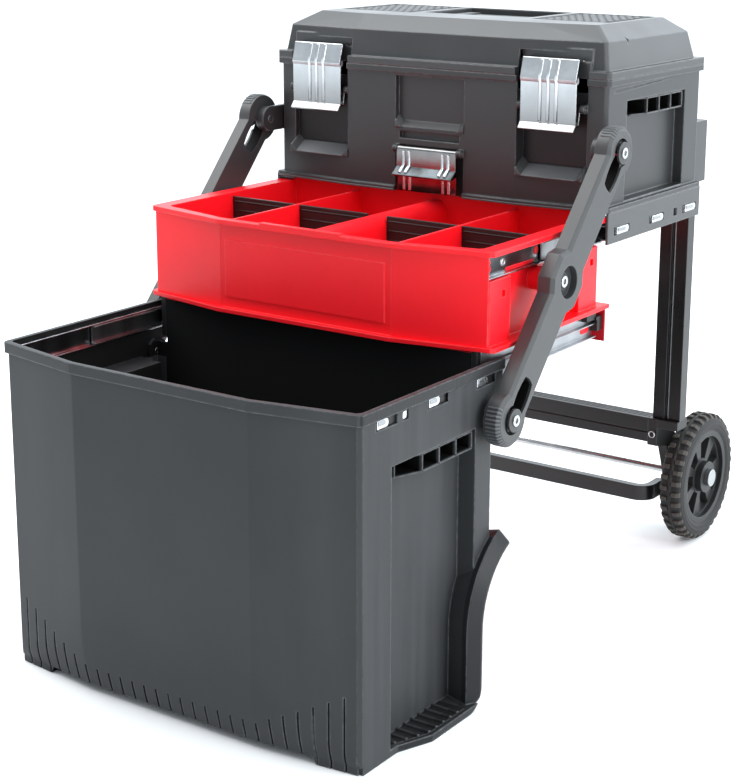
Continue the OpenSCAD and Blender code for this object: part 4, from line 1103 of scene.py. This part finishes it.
def build_brackets():
    for side in sides:
        s = SIGN[side]
        bm = bmesh.new()
        add_slab(bm, BRACKET, s * BRACKET_X[0], s * BRACKET_X[1])
        add_plate(bm, handed(s, FLANGE), *FLANGE_Z)
        bracket = solid_object(side + "_sloped_bracket", bm, "frame_plastic")
        ride(bracket, "top_box")
        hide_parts(side + "_axle_bracket")


def build_frame_rings():
    x, y, z = RING_PLACE
    turn = [math.radians(15 * i) for i in range(25)]
    rings = [
        [(s * x + RING_R * math.cos(a), y, z + RING_R * math.sin(a)) for a in turn] for s in (-1, 1)
    ]
    sweep("frame_screw_rings", rings, 0.8, 8, "bright_screw", "top_box", "bright_screw")
    # The bright bead down each post's groove is a painted highlight
    groove_highlights = [[(s * GLINT_X, POST_FRONT + 1, level) for level in GLINT_Z] for s in (-1, 1)]
    sweep("post_seams", groove_highlights, 0.8, 8, "inner_rail", "top_box", "bright_screw")


# Lid: covers with a raised pattern of small hexagons, over a base painted near black as shade

HEX_PITCH, HEX_RELIEF, HEX_FOOT_R, HEX_TOP_R = 10.5, 0.8, 5.0, 4.0
HEX_ROW = HEX_PITCH * 0.866
COVER_T, COVER_MARGIN = 4.0, 16


def build_cover(side):
    name = side + "_organiser_cover"
    lo, hi = node_mm(name)
    x0, x1 = lo.x + 3, hi.x - 3
    y1, face = hi.y - COVER_T / 2, hi.z - HEX_RELIEF
    bm = bmesh.new()
    add_plate(bm, rectangle(x0, lo.y, x1, y1), lo.z, face)
    for ends, r in (((x0, x1), COVER_T / 2), ((lo.x, hi.x), 1.5)):
        add_lathe(bm, [(x, r) for x in ends], y1, hi.z - COVER_T / 2, 24)
    cover = solid_object(side + "_patterned_cover", bm, "cover_groove_shade")
    levels = ((HEX_FOOT_R, -0.4), (HEX_TOP_R, HEX_RELIEF))
    pebble = shape_object("pebble", [[(*p, z) for p in ngon(0, 0, r, 6)] for r, z in levels])
    rows = int((y1 - lo.y - COVER_MARGIN) / HEX_ROW)
    columns = int((x1 - x0 - COVER_MARGIN) / HEX_PITCH)
    middle = (x0 + x1) / 2
    points = [
        at(middle + (c - columns / 2 + 0.5 * (r % 2)) * HEX_PITCH, lo.y + 10 + r * HEX_ROW, face)
        for r in range(rows + 1)
        for c in range(columns + 1 - r % 2)
    ]
    pattern = grow(
        side + "_cover_pattern", point_mesh(points), repeat_on_points, shape=pebble,
        material=finish["cover_plastic"],
    )
    drop(pebble)
    ride(cover, name)
    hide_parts(name)
    ride(pattern, name)


for side in sides:
    build_tyre(side)
    build_arm_ridges(side)
    build_slot_shading(side)
    build_cover(side)
build_screws("bin_arm_screws", "bin", BIN_PIN, 239.5, 4.5, head=(281.3, 6.5, 2), socket=(3.2, 5))
build_screws("box_arm_screws", "top_box", BOX_PIN, 243, 4.5, head=(281.3, 6.5, 2), socket=(3.2, 5))
build_screws("tray_arm_screws", "tray", TRAY_PIN, 225, 7, head=(271, 7, 3.7), socket=(3, 5))
build_pivot_collars()
build_latch_ribs()
build_hooks("bin_hooks", "bin", BIN_SLOTS, BIN_SLOT_Z, (244.3, 246.2, 246.9), length=20, start=3.5)
build_hooks("skirt_hooks", "top_box", SKIRT_SLOTS, SKIRT_SLOT_Z, (247.9, 250.8, 252.2), length=30, start=7)
build_slot_tabs("bin_slot_tabs", "bin", [(77.5, 84)], (367.5, 375.5), (244.3, 246.5))
build_slot_shades("bin_slot_shades", "bin", BIN_SLOTS, BIN_SLOT_Z, (243.6, 244.2), span=(0.2, 38))
build_slot_shades("skirt_slot_shades", "top_box", SKIRT_SLOTS, SKIRT_SLOT_Z, (247.1, 247.8), span=(0, 6))
build_sill_ridges()
build_front_apron()
build_grip(
    "bin_grip", "bin", "bin_plastic", outer=246.6, floor=224.5, back=210, start=62,
    ribs=(114, 146, 178.6), end=211, z=(300.6, 321.5),
)
build_grip(
    "box_grip", "top_box", "box_plastic", outer=242.6, floor=228.5, back=214, start=561,
    ribs=(611, 644, 676), end=709, z=(623.6, 644.5),
)
build_recess_corners()
build_ledges()
build_handle_web()
build_divider_ribs()
build_tray_facets()
build_rail_holes()
build_rail_ends()
build_brackets()
build_frame_rings()


# Finishes of the solids


def dress(names, key):
    for name in names:
        obj = nodes[name]
        obj.data.materials.clear()
        obj.data.materials.append(finish[key])


def both(*names):
    return [s + n for s in sides for n in names]


dress(["bin_body"], "bin_plastic")
dress(["box_body", "box_arm_lugs", "box_hinge_knuckles"], "box_plastic")
dress(["lid_shell", "lid_hinge_knuckles"], "lid_plastic")
dress(["box_skirts"], "skirt_plastic")
dress(both("_arm", "_post_bracket"), "arm_plastic")
dress(["cross_bar"], "frame_plastic")
dress(["tray_body", "tray_partitions"], "red_plastic")
dress(dividers, "black_plastic")
dress(["rail_bumpers", "pull_handle_grip", "frame_screws"], "black_plastic")
dress(["carry_handle"], "handle_grey")
dress(both("_hub"), "hub_plastic")
dress(["bin_arm_washers", "box_arm_washers"], "washer_grey")
dress(both("_post") + ["kick_bar"], "tube_paint")
dress(both("_bin_rail", "_tray_upper_rail", "_box_rail"), "zinc_rail")
dress(both("_tray_lower_rail"), "pale_rail")
dress(both("_upper_middle_rail", "_lower_middle_rail"), "inner_rail")
dress(["lid_hinge_pins", "centre_latch_pin", "axle", "pull_handle_rods"], "bright_screw")
dress(["axle_caps"], "pale_rail")
dress(both("_latch_plate", "_latch_bail"), "latch_steel")
dress(["centre_latch"], "centre_steel")


# Camera at the photograph's view, with its focal length and shift in the photograph's pixels

AZIMUTH, ELEVATION, ROLL = math.radians(34.3), math.radians(13.67), math.radians(0.35)
FRAME_H, FOCAL, SHIFT = 778, 1753.7, (-32.94, -74.35)
SENSOR, TARGET, DISTANCE = 36, at(-26.73, 472.14, 359.88), 2.2478


def add_camera():
    flat = math.cos(ELEVATION)
    back = Vector((math.sin(AZIMUTH) * flat, -math.cos(AZIMUTH) * flat, math.sin(ELEVATION)))
    level = Vector((math.cos(AZIMUTH), math.sin(AZIMUTH), 0))
    rise = back.cross(level)
    right = level * math.cos(ROLL) + rise * math.sin(ROLL)
    up = rise * math.cos(ROLL) - level * math.sin(ROLL)
    data = bpy.data.cameras.new("view")
    data.sensor_width = SENSOR
    data.lens = SENSOR * FOCAL / FRAME_H
    data.shift_x, data.shift_y = SHIFT[0] / FRAME_H, SHIFT[1] / FRAME_H
    camera = bpy.data.objects.new("view", data)
    scene.collection.objects.link(camera)
    turn = Matrix((right, up, back)).transposed().to_4x4()
    camera.matrix_world = Matrix.Translation(TARGET + back * DISTANCE) @ turn
    scene.camera = camera


def add_softbox(name, place, target, size, power):
    data = bpy.data.lights.new(name, "AREA")
    data.shape = "RECTANGLE"
    data.size, data.size_y = size
    data.energy = power
    lamp = bpy.data.objects.new(name, data)
    scene.collection.objects.link(lamp)
    away = Vector(place) - Vector(target)
    lamp.matrix_world = Matrix.Translation(place) @ away.to_track_quat("Z", "Y").to_matrix().to_4x4()


# The studio's walls are brightest behind the object and to its right
BRIGHT_SIDE, SKY = (0.4, 0.88, 0.25), (0.92, 1.0, 1.06, 1.0)
SKY_LOW, SKY_GAIN = 0.72, 2.2
FLOOR_REACH = 14.0


def add_floor():
    mesh = bpy.data.meshes.new("floor")
    corners = rectangle(-FLOOR_REACH, -FLOOR_REACH, FLOOR_REACH, FLOOR_REACH)
    mesh.from_pydata([(x, y, 0) for x, y in corners], [], [(0, 1, 2, 3)])
    floor = bpy.data.objects.new("floor", mesh)
    scene.collection.objects.link(floor)
    mat, tree, shader = bare_material("pale_floor")
    tone = mix_colour(tree, noise(tree, object_place(tree), 3.0), grey(0.94), grey(0.96))
    tree.links.new(tone, shader.inputs["Base Color"])
    shader.inputs["Roughness"].default_value = 0.8
    mesh.materials.append(mat)


def add_studio():
    world = bpy.data.worlds.new("studio")
    scene.world = world
    world.use_nodes = True
    tree = world.node_tree
    shade = tree.nodes["Background"]
    shade.inputs["Color"].default_value = SKY
    way = tree.nodes.new("ShaderNodeTexCoord").outputs["Generated"]
    glow = ramp(tree, vector_maths(tree, "DOT_PRODUCT", way, BRIGHT_SIDE), -0.2, 1.0)
    tree.links.new(maths(tree, "MULTIPLY_ADD", glow, SKY_GAIN, SKY_LOW), shade.inputs["Strength"])
    add_softbox("overhead", (-1.3, -0.4, 2.6), (0, 0, 0.4), (2.4, 2.4), 80)
    add_softbox("right", (3.0, 0.1, 1.25), (0, 0, 0.3), (1.8, 2.2), 58)
    add_floor()
    scene.view_settings.view_transform = "Standard"


add_camera()
add_studio()
